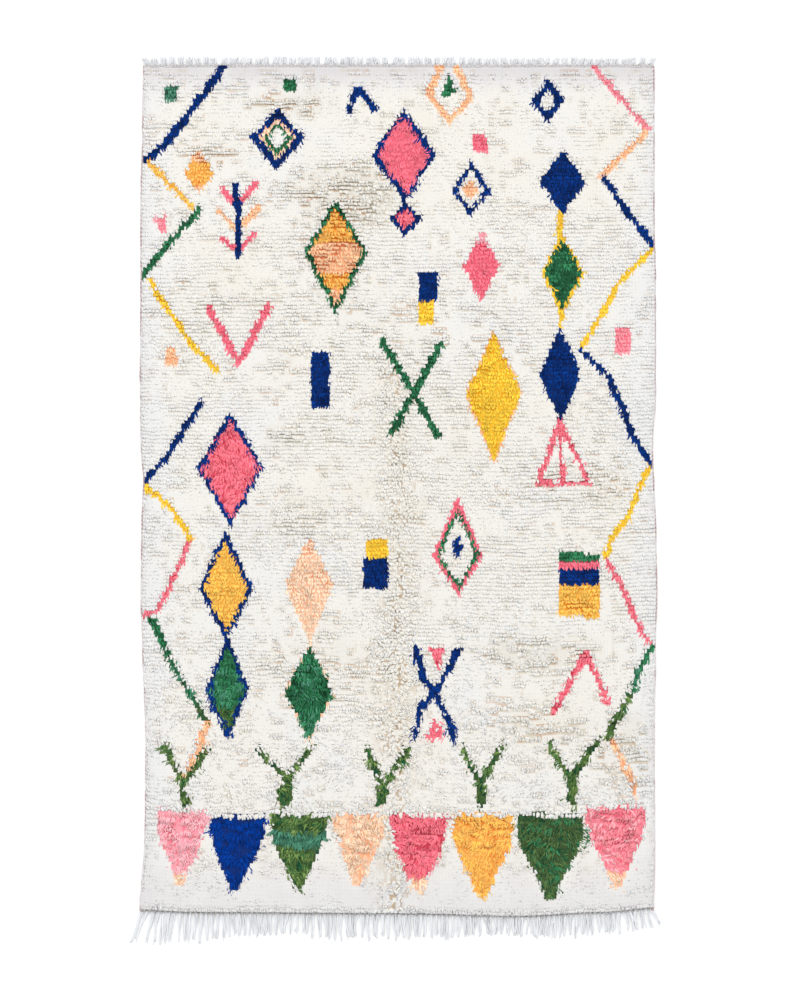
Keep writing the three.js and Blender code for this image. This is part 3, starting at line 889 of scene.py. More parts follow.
# %% Direction and reach of the ends
UPRIGHT = dict(
    reach=0.0145, tip_rise=0.94, belly_rise=0.80, belly_out=0.28,
    swirl=0.20, twirl=0.20, chance=0.24, clump=0.0015,
)
LAID = dict(
    reach=0.0205, tip_rise=0.95, belly_rise=0.72, belly_out=0.26,
    swirl=0.90, twirl=0.45, chance=0.32, clump=0.0050,
)
SWIRLS, TWIRLS = dict(pitch=0.085, seed=31), dict(pitch=0.028, seed=32)
DYED_SWIRLS = dict(pitch=0.024, height=0.5, seed=33)
DYED_CHANCE = 0.32
CALM, CALM_END, CALM_SIDE = 0.7, (0.03, 0.06), (0.01, 0.05)  # the turns shrink near the lower end and sides
CREASE_GAPS = 0.16  # share of short ends in the parting
SPLAY, SPLAY_CORE, SPLAY_MIDDLE = 0.6, 0.008, 0.6
SPLAY_PATCHES = dict(pitch=0.045, height=0.7, seed=28)
TUMBLE_X, TUMBLE_Y = dict(pitch=0.020, height=1.1, seed=37), dict(pitch=0.020, height=0.7, seed=38)
TUMBLED = 0.45  # so much of the way down the rug is lost in the parting
REACH_CHANCE, CRACK_CHANCE = (-0.25, 0.15), (0.92, 1.10)
CRACK_REACH, DYED_CRACK_REACH = 0.0083, 0.88  # reach of an end beside a crack, and a dyed end's share of it
GONE = dict(reach=0.55, rise=0.6)  # what a short end of the parting keeps of its reach and loses of its rise
LEAN_OUT = dict(aside=0.3, reach=0.45, rise=0.85)  # the extra ends of the first row are short and low


def by_lie(part):
    """A measure of each end, between its value where the pile is upright and where it is laid over."""
    return mix(UPRIGHT[part], LAID[part], lying)


swirl = by_lie("swirl") * hills(root_x, root_y, **SWIRLS)
swirl += by_lie("twirl") * hills(root_x, root_y, **TWIRLS)
swirl += is_dyed * hills(root_x, root_y, **DYED_SWIRLS)
turn = loose * swirl + loose * np.where(is_dyed, DYED_CHANCE, by_lie("chance")) * draws.normal(0, 1, ends)
turn *= 1 - CALM * np.maximum(close_to(to_bottom, *CALM_END), close_to(to_side, *CALM_SIDE))
gone = draws.uniform(0, 1, ends) < CREASE_GAPS * parted
splayed = ease(SPLAY_MIDDLE + hills(0 * root_x, root_y, **SPLAY_PATCHES))
splay = from_crease / np.hypot(from_crease, SPLAY_CORE) * splayed
way_x = np.sin(turn) + parted * (SPLAY * splay + hills(root_x, root_y, **TUMBLE_X))
way_y = -np.cos(turn) * (1 - TUMBLED * parted) + parted * hills(root_x, root_y, **TUMBLE_Y)
reach = by_lie("reach") * (1 + loose * draws.uniform(*REACH_CHANCE, ends))
cut_reach = CRACK_REACH * np.where(is_dyed, DYED_CRACK_REACH, 1.0) * draws.uniform(*CRACK_CHANCE, ends)
reach = mix(reach, cut_reach, cracked)
reach = np.where(gone, GONE["reach"] * reach, reach)
way_length = np.hypot(way_x, way_y)
way_x, way_y = way_x / way_length * reach, way_y / way_length * reach
way_x = np.where(leans_out, LEAN_OUT["aside"] * way_x, way_x)
way_y = np.where(leans_out, LEAN_OUT["reach"] * reach, way_y)
print("reach of the ends:", round(float(reach.min()), 4), "to", round(float(reach.max()), 4))

# %% [markdown]
# The tips draw together in locks, by hills that push neighbours the same way, and they stay inside the
# outline. The heights are shares of the pile's own height there. An end just below a crack rises steeply,
# because nothing presses on it from above.

# %% Paths of the yarn ends
CLUMP_X, CLUMP_Y = dict(pitch=0.016, seed=35), dict(pitch=0.016, seed=36)
FINE_CLUMP = 1.4
RIDGES = dict(pitch=0.020, seed=45)
RIDGE_SLANT, RIDGE_LENGTH = 0.5, 2.0
RIDGE_HEIGHT, RIDGE_HEIGHT_FINE = 0.144, 0.24
RIDGE_MIDDLE = 0.4  # a hill of this height leaves an end as it is
RISE_CHANCE = (0.92, 1.04)
STEEP = 0.12  # share of its reach at which an end below a crack is already up
BEND = 0.0012  # how far a belly strays sideways
ROOT_SUNK = 0.001

clump = by_lie("clump") * (1 - cracked) * np.where(is_fine, FINE_CLUMP, 1.0)
free_x, free_y = root_x + way_x, root_y + way_y
tip_x = free_x + clump * hills(free_x, free_y, **CLUMP_X)
tip_y = free_y + clump * hills(free_x, free_y, **CLUMP_Y)
tip_x = np.clip(tip_x, left_edge(root_y) + SIDE_CLEARANCE, right_edge(root_y) - SIDE_CLEARANCE)
tip_y = np.clip(tip_y, bottom_edge(root_x), top_end)

ridge = is_dyed * hills(root_x + RIDGE_SLANT * root_y, RIDGE_LENGTH * root_y, **RIDGES)
stands = 1 - GONE["rise"] * gone
rise = (pile_height(root_x, root_y) - KNOT_TOP) * draws.uniform(*RISE_CHANCE, ends) * stands
rise *= 1 + np.where(is_fine, RIDGE_HEIGHT_FINE, RIDGE_HEIGHT) * (ridge - RIDGE_MIDDLE)
rise *= np.where(leans_out, LEAN_OUT["rise"], 1.0)
tip_z = KNOT_TOP + rise * by_lie("tip_rise")
belly_z = KNOT_TOP + rise * by_lie("belly_rise")
belly_out = mix(by_lie("belly_out"), STEEP, below_crack)
belly_x = mix(root_x, tip_x, belly_out) + BEND * draws.uniform(-1, 1, ends)
belly_y = mix(root_y, tip_y, belly_out)
root_z = np.full(ends, KNOT_TOP - ROOT_SUNK)
end_points = ((tip_x, tip_y, tip_z), (belly_x, belly_y, belly_z), (root_x, root_y, root_z))
end_paths = np.stack([np.stack(point, -1) for point in end_points], 1)
print("pile from", round(float(tip_z.min()), 4), "to", round(float(tip_z.max()), 4), "m high")

# %% [markdown]
# ## Rods from paths
# A yarn end, a fringe yarn and a selvedge cord are all the same form: a rod of a few sides along a path,
# closed by a small face at the first point and drawn to a point at the last. A yarn end's path starts at its
# tip, so the cut tip shows and the point is hidden in the knot. One function makes any number of rods at
# once. It also lays each rod on a narrow strip of a map: the way round runs across the strip and the way
# along runs up it. All rods of one shade share a strip, so a material that reads only this map looks the same
# on each of them.


# %% Rods along paths
STRIP_MARGIN = 0.12  # free at each side of a strip, so that neighbours don't bleed into it
LID_RUN = 0.08  # how far up its strip the closing face reaches


def rod_form(rings, sides):
    """One rod's faces, as corners and face sizes, and each corner's place around and along it, 0 to 1."""
    ring, side = (n.ravel() for n in np.mgrid[0 : rings - 1, 0:sides])
    after = (side + 1) % sides
    start, end = ring * sides, (ring + 1) * sides
    wall = np.stack([start + side, start + after, end + after, end + side])
    around = np.arange(sides)
    last = (rings - 1) * sides
    point = np.stack([last + around, last + (around + 1) % sides, np.full(sides, rings * sides)])
    corners = np.concatenate([wall.T.ravel(), point.T.ravel(), around[::-1]])
    face_sizes = np.concatenate([np.full(len(side), 4), np.full(sides, 3), [sides]])
    wall_turns = np.stack([side, side + 1, side + 1, side]).T
    point_turns = np.stack([around, around + 1, around + 0.5]).T
    wall_runs = np.stack([ring, ring, ring + 1, ring + 1]).T
    point_runs = rings - 1 + np.tile([0, 0, 1], (sides, 1))
    lid_runs = LID_RUN * (around[::-1] % 2)
    turns = np.concatenate([wall_turns.ravel(), point_turns.ravel(), around[::-1]]) / sides
    runs = np.concatenate([wall_runs.ravel(), point_runs.ravel(), lid_runs]) / rings
    return corners, face_sizes, turns, runs


def rod_points(paths, radii, sides, roll, flat):
    """Points of rods. Each point of a path but the last carries a ring: the point plus the radius times the
    cosine of the turn along the rod's level side and its sine, flattened, along its top. The last is bare."""
    along = unit(np.gradient(paths, axis=1))
    way = paths[:, -1] - paths[:, 0]
    side = unit(np.stack([-way[:, 1], way[:, 0], 0 * way[:, 0]], -1))[:, None]
    top = unit(np.cross(along, side))[:, :-1]
    turn = np.pi / 2 + 2 * np.pi * np.arange(sides) / sides + roll[:, None]
    across = np.cos(turn)[:, None, :, None] * side[:, :, None]
    upward = flat * np.sin(turn)[:, None, :, None] * top[:, :, None]
    rings = paths[:, :-1, None] + radii[:, :, None, None] * (across + upward)
    return np.concatenate([rings.reshape(len(paths), -1, 3), paths[:, -1:]], axis=1)


def new_piece(name, points, corners, face_sizes, uv):
    """A smooth mesh object at the origin, from flat arrays of points, face corners and map places."""
    mesh = bpy.data.meshes.new(name)
    mesh.vertices.add(len(points))
    mesh.vertices.foreach_set("co", points.astype(np.float32).ravel())
    mesh.loops.add(len(corners))
    mesh.loops.foreach_set("vertex_index", corners.astype(np.int32))
    mesh.polygons.add(len(face_sizes))
    starts = np.concatenate([[0], np.cumsum(face_sizes)[:-1]])
    mesh.polygons.foreach_set("loop_start", starts.astype(np.int32))
    mesh.update(calc_edges=True)
    mesh.polygons.foreach_set("use_smooth", np.full(len(face_sizes), True))
    layer = mesh.uv_layers.new(name=MAP_NAME)
    layer.data.foreach_set("uv", uv.astype(np.float32).ravel())
    piece = bpy.data.objects.new(name, mesh)
    bpy.context.scene.collection.objects.link(piece)
    return piece


def rods(name, paths, radii, sides, strip, strips, roll, flat=1.0):
    """A piece of many rods in one mesh. strip is each rod's strip of the map, out of the number of strips."""
    points = rod_points(paths, radii, sides, roll, flat)
    corners, face_sizes, turns, runs = rod_form(paths.shape[1] - 1, sides)
    all_corners = (np.arange(len(paths))[:, None] * points.shape[1] + corners).ravel()
    across = STRIP_MARGIN + (1 - 2 * STRIP_MARGIN) * turns
    u = (strip[:, None] + across) / strips
    uv = np.stack([u, np.broadcast_to(runs, u.shape)], -1)
    return new_piece(name, points.reshape(-1, 3), all_corners, np.tile(face_sizes, len(paths)), uv)


def triangles(piece):
    """The number of triangles of a piece."""
    sizes = np.zeros(len(piece.data.polygons), np.int32)
    piece.data.polygons.foreach_get("loop_total", sizes)
    return int((sizes - 2).sum())


print("one yarn end has", int((rod_form(2, 3)[1] - 2).sum()), "triangles")

# %% [markdown]
# ## Wool
# A yarn end is matt and a little hairy, and no two ends took the dye alike. Its root is painted darker and
# warmer, which is painted shade deep in the pile. The material finds all of that on the rods' map. Across the
# map lie the shades, then a run of tones from dark to light inside each shade, one strip for each tone. Up
# the map is the way from tip to root. Fine streaks follow the fibres, and a slanting ripple stands for the
# twist.


# %% Wool material
STRIPS = 48
WOOL_SHEEN = 0.12
DARK_SHEEN = 0.02  # a pale sheen would wash out the dark dyes
SHEEN_ROUGHNESS = 0.6
DARK_SLOTS = ("navy_pile", "green_pile", "olive_pile")
IVORY_TONES, DYED_TONES, DARK_TONES = (0.885, 0.935), (0.82, 1.22), (0.52, 1.70)
IVORY_STREAKS, DYED_STREAKS = (0.93, 1.04), (0.84, 1.10)
ROOT_PAINTED_SHADE_FROM = 0.5  # the root's painted shade eases in from this share of the way down
STREAK = dict(across=12.0, along=3.0, tone=7.0)  # streaks across and along a strip, and a shift for each tone
TWIST, TWIST_RELIEF = 34.0, 0.35


def wool_material(name, shades, sheen, tones, streak_tones):
    """Wool in some shades, read from the rods' map: shade and tone lie across, and tip to root lies up."""
    material, tree, shader = new_material(name)
    _, across, along = map_place(tree)
    tone = maths(tree, "FRACT", times(tree, across, float(len(shades))))
    around = maths(tree, "FRACT", times(tree, across, float(STRIPS)))
    tips = bands(tree, across, [tip_colours[shade].tolist() for shade in shades])
    shaded_roots = bands(tree, across, [shaded_root_colours[shade].tolist() for shade in shades])
    tip_share = spread(tree, along, ROOT_PAINTED_SHADE_FROM, 1.0, 1.0, 0.0, "SMOOTHSTEP")
    streak_place = place_at(
        tree,
        times(tree, across, STRIPS * STREAK["across"]),
        times(tree, along, STREAK["along"]),
        times(tree, tone, STREAK["tone"]),
    )
    streaks = noise(tree, streak_place)
    turns = maths(tree, "ADD", times(tree, along, TWIST), times(tree, around, 2 * math.pi))
    relief = maths(tree, "ADD", streaks, times(tree, maths(tree, "SINE", turns), TWIST_RELIEF))
    tone_light = spread(tree, tone, 0.0, 1.0, *tones)
    light = times(tree, tone_light, spread(tree, streaks, *NOISE_RANGE, *streak_tones))
    colour = blend(tree, tip_share, shaded_roots, tips)
    feel = dict(roughness=(0.78, 0.96), bump=(0.8, 0.0008), gloss=sheen, sheen=sheen)
    finish_fibre(tree, shader, colour, light, streaks, relief, **feel)
    shader.inputs["Sheen Roughness"].default_value = SHEEN_ROUGHNESS
    return material


wool = {}
for slot in slots:
    sheen = DARK_SHEEN if slot in DARK_SLOTS else WOOL_SHEEN
    tones = IVORY_TONES if slot == "ivory_pile" else DARK_TONES if slot in DARK_SLOTS else DYED_TONES
    streak_tones = IVORY_STREAKS if slot == "ivory_pile" else DYED_STREAKS
    wool[slot] = wool_material(slot + "_wool", shades_of[slot], sheen, tones, streak_tones)
print("wool materials:", ", ".join(wool))

# %% [markdown]
# ## Shades of the pile
# Undyed wool is never one white. Towards the edges and the lower end it is a cool white, over most of the
# field it is ivory, and along the parting and the cracks it is a warmer cream. Along the top and the sides the
# greyer shades are painted shade on the rounded shoulder of the rim, near the lower end the wool is a little
# greyer, and a duller one lies where the rows are open. Each end draws its own shade, with the odds set by
# where it stands. Dyed ends stray too: some come from the next batch. More ends in the hollows between locks
# take the darker shade, as painted shade, and more on the tops of the locks take the paler one, as painted
# highlight.

# %% Shade of each end
WARM_DRIFT, WARM_SPOTS = dict(pitch=0.22, height=0.42, seed=41), dict(pitch=0.06, height=0.25, seed=42)
WARMER = dict(crack=0.55, crease=0.8, side=0.9, bottom=1.2, top=0.6, chance=0.35)
WHITE_SIDE, WHITE_BOTTOM = (0.0, 0.13), (0.02, 0.10)  # the whiter wool is sure so near the rim, fading beyond
WHITE_BELOW, CREAM_ABOVE = -0.35, 0.55
SILVER_SHADE_TOP, SILVER_SHADE_SIDE, SILVER_BOTTOM = (0.02, 0.07), (0.0, 0.016), (0.04, 0.20)  # painted shade on the rim's shoulder at the top and sides, and greyer wool near the lower end, likewise
SILVER_SHADE_SIDE_SHARE, SILVER_BOTTOM_SHARE = 0.7, 0.5
# painted shade: the first rows at the top take the grey ash shade
ASH_SHADE_TOP, ASH_CHANCE = 0.018, (0.6, 1.4)
DUN_SHARE = 0.55  # share of duller ends where the rows are fully open
STRAY_SHADES = 0.06  # share of the dyed ends that come from the next batch of yarn
HOLLOW_SHADE_SHARE, HOLLOW = 0.35, -0.25  # and the further share where the ridges are lower than this, as painted shade in the hollows
LOCK_HIGHLIGHT_SHARE, LOCK_TOP = 0.45, 0.3  # share of paler ends where the ridges are higher than this, as painted highlight on the locks
# the darker shades stand for the next batch, and in the hollows for painted shade
STRAY_AND_SHADE_PAIRS = [
    ("peach", "apricot"), ("rose", "deep_rose"), ("mid_pink", "pink"), ("light_pink", "mid_pink"),
    ("olive", "forest"), ("forest", "pine"), ("green", "pine"), ("orange", "rust"),
]
# painted highlight: the paler shades on the tops of the locks
HIGHLIGHT_PAIRS = [
    ("rose", "pink"), ("mid_pink", "light_pink"), ("olive", "moss"), ("green", "teal"), ("forest", "green"),
    ("orange", "amber"),
]

warm = hills(root_x, root_y, **WARM_DRIFT) + hills(root_x, root_y, **WARM_SPOTS)
warm += WARMER["crack"] * cracked + WARMER["crease"] * parted
warm -= WARMER["side"] * close_to(to_side, *WHITE_SIDE)
warm -= WARMER["bottom"] * close_to(to_bottom, *WHITE_BOTTOM) + WARMER["top"] * close_to(to_top, *WHITE_SIDE)
warm += WARMER["chance"] * draws.normal(0, 1, ends)
yarn_of = chart[knot_of]
is_ivory = yarn_of == YARN["ivory"]


def shift(chosen, yarn):
    """Gives the chosen ivory ends another shade of undyed wool."""
    return np.where(is_ivory & chosen, YARN[yarn], yarn_of)


yarn_of = shift(warm < WHITE_BELOW, "white")
yarn_of = shift(warm > CREAM_ABOVE, "cream")
# painted shade on the rim at the top and sides, and a greyer wool near the lower end
silver_shade_and_grey = close_to(to_top, *SILVER_SHADE_TOP) + SILVER_SHADE_SIDE_SHARE * close_to(to_side, *SILVER_SHADE_SIDE)
silver_shade_and_grey += SILVER_BOTTOM_SHARE * close_to(to_bottom, *SILVER_BOTTOM)
yarn_of = shift(draws.uniform(0, 1, ends) < silver_shade_and_grey, "silver")
yarn_of = shift(to_top < ASH_SHADE_TOP * draws.uniform(*ASH_CHANCE, ends), "ash")
yarn_of = shift(draws.uniform(0, 1, ends) < DUN_SHARE * openness(root_x, root_y) ** 2, "dun")
# painted shade in the hollows, and painted highlight on the tops of the locks
strayed_or_shaded = draws.uniform(0, 1, ends) < STRAY_SHADES + HOLLOW_SHADE_SHARE * is_fine * (ridge < HOLLOW)
pale = is_fine & (ridge > LOCK_TOP) & (draws.uniform(0, 1, ends) < LOCK_HIGHLIGHT_SHARE)
for chosen, pairs in ((pale & ~strayed_or_shaded, HIGHLIGHT_PAIRS), (strayed_or_shaded, STRAY_AND_SHADE_PAIRS)):
    for old, new in pairs:
        yarn_of = np.where(chosen & (yarn_of == YARN[old]), YARN[new], yarn_of)
print({name: int((yarn_of == number).sum()) for name, number in YARN.items()})

# %% [markdown]
# ## The pile
# Each end gets a tone, lighter or darker by drifts of the dye and by chance. Ends beside a crack are painted
# darker, as painted shade, and an end's height in the locks paints it lighter or darker, as painted highlight
# and shade.
# Shade and tone together pick its strip of the map. The ends are then sorted into pieces by slot. Each dyed
# slot makes one piece, and the ivory field is cut into bands across the rug, so that no mesh grows too large.

# %% Pieces of pile
TONE_SPOTS, TONE_DRIFT = dict(pitch=0.026, height=0.26, seed=43), dict(pitch=0.16, height=0.16, seed=44)
TONE = dict(middle=0.5, chance=0.22, crack=0.2, fine=0.12, ridge=0.32, top=0.999)
IVORY_BANDS = 5
IVORY_RADII, DYED_RADII = (0.0037, 0.0046), (0.0020, 0.0035)  # at the tip and at the belly
IVORY_FLAT, DYED_FLAT = 0.19, 0.42
THICK_CHANCE, THICK_LAID, THICK_FINE = (0.82, 1.18), 1.08, 0.70
ROLL = 0.35  # the ends are turned about themselves by up to this angle, in radians
SHARP_EDGE = math.radians(100)  # the ridge of an end is shaded round, its lower edges and its cut are not

tone = TONE["middle"] + hills(root_x, root_y, **TONE_SPOTS) + hills(root_x, root_y, **TONE_DRIFT)
# painted shade beside the cracks, and painted highlight and shade by the height in the locks
tone += TONE["chance"] * draws.normal(0, 1, ends) - TONE["crack"] * cracked
tone = np.clip(tone + TONE["fine"] * is_fine + TONE["ridge"] * ridge, 0, TONE["top"])
fineness = np.where(is_fine, THICK_FINE, 1.0)
thickness = draws.uniform(*THICK_CHANCE, ends) * mix(1.0, THICK_LAID, lying) * fineness
radii = np.where(is_dyed[:, None], DYED_RADII, IVORY_RADII) * thickness[:, None]
roll = draws.uniform(-ROLL, ROLL, ends)
rank_in_slot = np.array([shades_of[slot].index(number) for number, slot in enumerate(yarn_slots)])
shades_in_slot = np.array([len(shades_of[slot]) for slot in yarn_slots])
strip_of = np.floor((rank_in_slot[yarn_of] + tone) * STRIPS / shades_in_slot[yarn_of]).astype(int)
slot_of = np.array([slots.index(slot) for slot in yarn_slots])[yarn_of]
band_of = np.minimum((row_number[knot_of] * IVORY_BANDS) // rows, IVORY_BANDS - 1)

pile_pieces = []
for number, slot in enumerate(slots):
    parts = [slot_of == number]
    if slot == "ivory_pile":
        parts = [parts[0] & (band_of == band) for band in range(IVORY_BANDS)]
    for part_number, part in enumerate(parts, start=1):
        name = slot if len(parts) == 1 else f"{slot}_{part_number}"
        flat = IVORY_FLAT if slot == "ivory_pile" else DYED_FLAT
        piece = rods(name, end_paths[part], radii[part], 3, strip_of[part], STRIPS, roll[part], flat)
        piece.data.set_sharp_from_angle(angle=SHARP_EDGE)
        piece.data.materials.append(wool[slot])
        pile_pieces.append(piece)
        print(name, int(part.sum()), "ends,", triangles(piece), "triangles")

# %% [markdown]
# ## The woven ground
# Under the pile is a plain-woven wool cloth that holds the knots, and the wool between the ends mats together
# over it. From above, this mat shows between the ends: close under them where the pile is felted, deep in the
# cracks and pits. The underside shows the backs of the knots, so the motifs can be read there too, in small
# flat stitches. It is one closed sheet with a face for each knot on both sides.

# %% Ground sheet
MAT_DEPTH, FELTED_DEPTH, DYED_MAT_DEPTH = 0.0027, 0.0015, 0.0050  # how far the mat lies below the pile's top
CRACK_SINKS, PIT_SINKS = 0.0070, 0.0040
MAT_LOWEST = 0.0060
MAT_RIPPLE = dict(pitch=0.015, height=0.0006, seed=51)
HALF, GAP = 0.5, 0.01  # each side of the sheet has half of the map, with a gap round it
SIDE_STRIP = 0.002  # width of the rim's faces on the map

down, across = np.mgrid[0 : rows + 1, 0 : columns + 1]
sheet_x, sheet_y = (n.ravel() for n in grid_place(across / columns, down / rows))
sheet_crack = crack(sheet_x, sheet_y, down.ravel() - 1)
dyed_cells = np.pad(is_motif.reshape(rows, columns).astype(float), 1, mode="edge")
dyed = (dyed_cells[:-1, :-1] + dyed_cells[1:, :-1] + dyed_cells[:-1, 1:] + dyed_cells[1:, 1:]).ravel() / 4
felted = felt(sheet_x, sheet_y) * (1 - sheet_crack)
mat_top = pile_height(sheet_x, sheet_y) - mix(mix(MAT_DEPTH, FELTED_DEPTH, felted), DYED_MAT_DEPTH, dyed)
mat_top += hills(sheet_x, sheet_y, **MAT_RIPPLE)
mat_top -= CRACK_SINKS * sheet_crack + PIT_SINKS * pit(sheet_x, sheet_y)
upper = np.stack([sheet_x, sheet_y, np.maximum(mat_top, MAT_LOWEST)], -1)
lower = np.stack([sheet_x, sheet_y, 0 * sheet_x], -1)

stride = columns + 1
first = (row_number * stride + column_number)[:, None]
face_up = first + np.array([0, stride, stride + 1, 1])
face_down = first + len(upper) + np.array([0, 1, stride + 1, stride])
top_rim, bottom_rim = np.arange(columns), rows * stride + np.arange(columns, 0, -1)
right_rim, left_rim = np.arange(rows) * stride + columns, np.arange(rows, 0, -1) * stride
edge = np.concatenate([top_rim, right_rim, bottom_rim, left_rim])
following = np.roll(edge, -1)
face_side = np.stack([edge, following, following + len(upper), edge + len(upper)], -1)
faces = np.vstack([face_up, face_down, face_side])
map_x, map_y = (across / columns).ravel(), 1 - (down / rows).ravel()
top_map = np.stack([GAP + (HALF - 2 * GAP) * map_x, GAP + (1 - 2 * GAP) * map_y], -1)
sheet_map = np.vstack([top_map, top_map + (HALF, 0)])
sheet_uv = sheet_map[faces]
side_faces = slice(len(face_up) + len(face_down), None)
sheet_uv[side_faces, 2:] = sheet_uv[side_faces, 1::-1] + SIDE_STRIP
face_sizes = np.full(len(faces), 4)
sheet_points = np.vstack([upper, lower])
ground = new_piece("wool_ground", sheet_points, faces.ravel(), face_sizes, sheet_uv.reshape(-1, 2))
print("ground sheet:", triangles(ground), "triangles")

# %% [markdown]
# ## Colour of the ground
# The colours are laid on the faces as an attribute. On the upper side the mat mixes the shades of the undyed
# ends around it, painted a little darker as shade under the ends, and takes each dyed knot's own colour, half
# of it the painted shade of its root. The cracks are painted a tan shade, warmer in patches where the weft
# comes through, the pits along the parting a brown shade, and the rim at the sides and top a grey shade of its
# rounded shoulder. The underside shows the yarn plainly. The weave itself is a bump: rows of small rounded
# stitches, one for each knot above and two below, where each knot wraps a pair of warps, with painted shade
# between the stitches.

# %% Colours of the knots on the ground
CRACK_SHADE_TAN = (200, 186, 164)  # painted shade: the tan that the cracks between parted rows are painted
WEFT_AND_SHADE_TAN = (188, 146, 104)  # the weft's own colour where it comes through, with painted shade in the cracks
WEFT_PATCHES = dict(pitch=0.035, height=1.6, seed=54)
WEFT_LEVEL = 0.1
# painted shade: the brown that the pits along the parting are painted
PIT_SHADE_BROWN = (188, 166, 140)
MAT_PAINTED_SHADE = 0.85  # painted shade: the mat is painted a little darker than the ends, for the shade under them
MAT_BLEND = 2  # it mixes the shades of this many knots to each side
# painted shade: the mat at the sides and the top end is painted grey for the shade on the rim's rounded
# shoulder
RIM_SHADE_GREY, RIM_SHADE_REACH = (214, 211, 212), 0.020
SIDE_WOOL = (222, 216, 204)
BACK_TONE = 0.9

first_end = yarn_of[: ENDS_PER_KNOT * len(knot_x) : ENDS_PER_KNOT]  # the shade of one end of each knot
mat_colours = (shaded_root_colours[first_end] + tip_colours[first_end]) / 2
undyed = np.where(is_motif[:, None], tip_colours[YARN["ivory"]], mat_colours).reshape(rows, columns, 4)
padded = np.pad(undyed, ((MAT_BLEND, MAT_BLEND), (MAT_BLEND, MAT_BLEND), (0, 0)), mode="edge")
window = range(2 * MAT_BLEND + 1)
blended = sum(padded[j : j + rows, i : i + columns] for j in window for i in window) / len(window) ** 2
# painted shade: the undyed mat is darkened for the shade under the ends
mat_colours = np.where(is_motif[:, None], mat_colours, MAT_PAINTED_SHADE * blended.reshape(-1, 4))


def paint_mat_shade(colours, tan, share):
    """The mat's colours, turned by a share towards a painted shade: a tan, or in a motif the shaded root
    colour of its yarn.
    """
    target = np.where(is_motif[:, None], shaded_root_colours[chart], tan)
    return mix(colours, target, share[:, None])


weft_share = ease(hills(knot_x, knot_y, **WEFT_PATCHES) - WEFT_LEVEL)[:, None]
crack_shade_tans = mix(np.array(linear(*CRACK_SHADE_TAN)), np.array(linear(*WEFT_AND_SHADE_TAN)), weft_share)
# painted shade: the mat beside a crack is tinted towards the tan
crack_shade_share = np.maximum(crack(knot_x, knot_y, row_number), crack(knot_x, knot_y, row_number - 1))
mat_colours = paint_mat_shade(mat_colours, crack_shade_tans, crack_shade_share)
# painted shade in the pits
mat_colours = paint_mat_shade(mat_colours, np.array(linear(*PIT_SHADE_BROWN)), pit(knot_x, knot_y))
# painted shade along the rim
to_rim = np.minimum(off_sides(knot_x, knot_y), top_end - knot_y)
rim_shade_share = np.where(is_motif, 0.0, close_to(to_rim, 0.0, RIM_SHADE_REACH))
mat_colours = mix(mat_colours, np.array(linear(*RIM_SHADE_GREY)), rim_shade_share[:, None])
side_colours = np.broadcast_to(linear(*SIDE_WOOL), (len(face_side), 4))
face_colours = np.vstack([mat_colours, tip_colours[chart] * BACK_TONE, side_colours])
face_colours[:, 3] = 1
attribute = ground.data.color_attributes.new(name="knot_colour", type="FLOAT_COLOR", domain="CORNER")
attribute.data.foreach_set("color", np.repeat(face_colours, 4, axis=0).astype(np.float32).ravel())
print("ground faces with colour:", len(face_colours))


# %% Ground material
STITCH_DARK, STITCH_LIGHT = 0.18, 0.03  # shade between the stitches and light on them
GROUND_FUZZ, GROUND_FUZZ_TONES, GROUND_FUZZ_RELIEF = 900.0, (0.94, 1.05), 0.3
GROUND_FEEL = dict(roughness=(0.84, 0.97), bump=(0.7, 0.0012), gloss=0.2, sheen=WOOL_SHEEN)
MATTED_STITCHES = 0.2  # depth of the stitches under the pile, as a share of that on the underside


def ground_material(name, stitches, rows_of_stitches, depth):
    """The ground's colour from its faces, and rounded stitches as a product of two waves over the map."""
    material, tree, shader = new_material(name)
    colour = add_node(tree, "ShaderNodeAttribute", {}, attribute_name="knot_colour").outputs["Color"]
    place, across, up = map_place(tree)
    wave_x = maths(tree, "SINE", times(tree, across, stitches * math.pi / (HALF - 2 * GAP)))
    wave_y = maths(tree, "SINE", times(tree, up, rows_of_stitches * math.pi / (1 - 2 * GAP)))
    stitch = maths(tree, "ABSOLUTE", times(tree, wave_x, wave_y))
    fuzz = noise(tree, place, GROUND_FUZZ)
    stitch_light = spread(tree, stitch, 0.0, 1.0, 1.0 - STITCH_DARK * depth, 1.0 + STITCH_LIGHT * depth)
    light = times(tree, stitch_light, spread(tree, fuzz, *NOISE_RANGE, *GROUND_FUZZ_TONES))
    relief = maths(tree, "ADD", times(tree, stitch, depth), times(tree, fuzz, GROUND_FUZZ_RELIEF))
    finish_fibre(tree, shader, colour, light, fuzz, relief, **GROUND_FEEL)
    return material


ground.data.materials.append(ground_material("knotted_side", columns, rows, MATTED_STITCHES))
ground.data.materials.append(ground_material("knot_backs", 2 * columns, rows, 1.0))
material_of_face = np.zeros(len(faces), np.int32)
material_of_face[len(face_up) :] = 1
ground.data.polygons.foreach_set("material_index", material_of_face)
print("ground materials:", len(ground.data.materials))

# %% [markdown]
# ## Selvedges
# Along both long sides the weft turns round a bundle of edge warps and binds it into a cord. It is one long
# rod with a wrap: its radius swells and sinks along its length, once for each turn of the wrapping yarn.

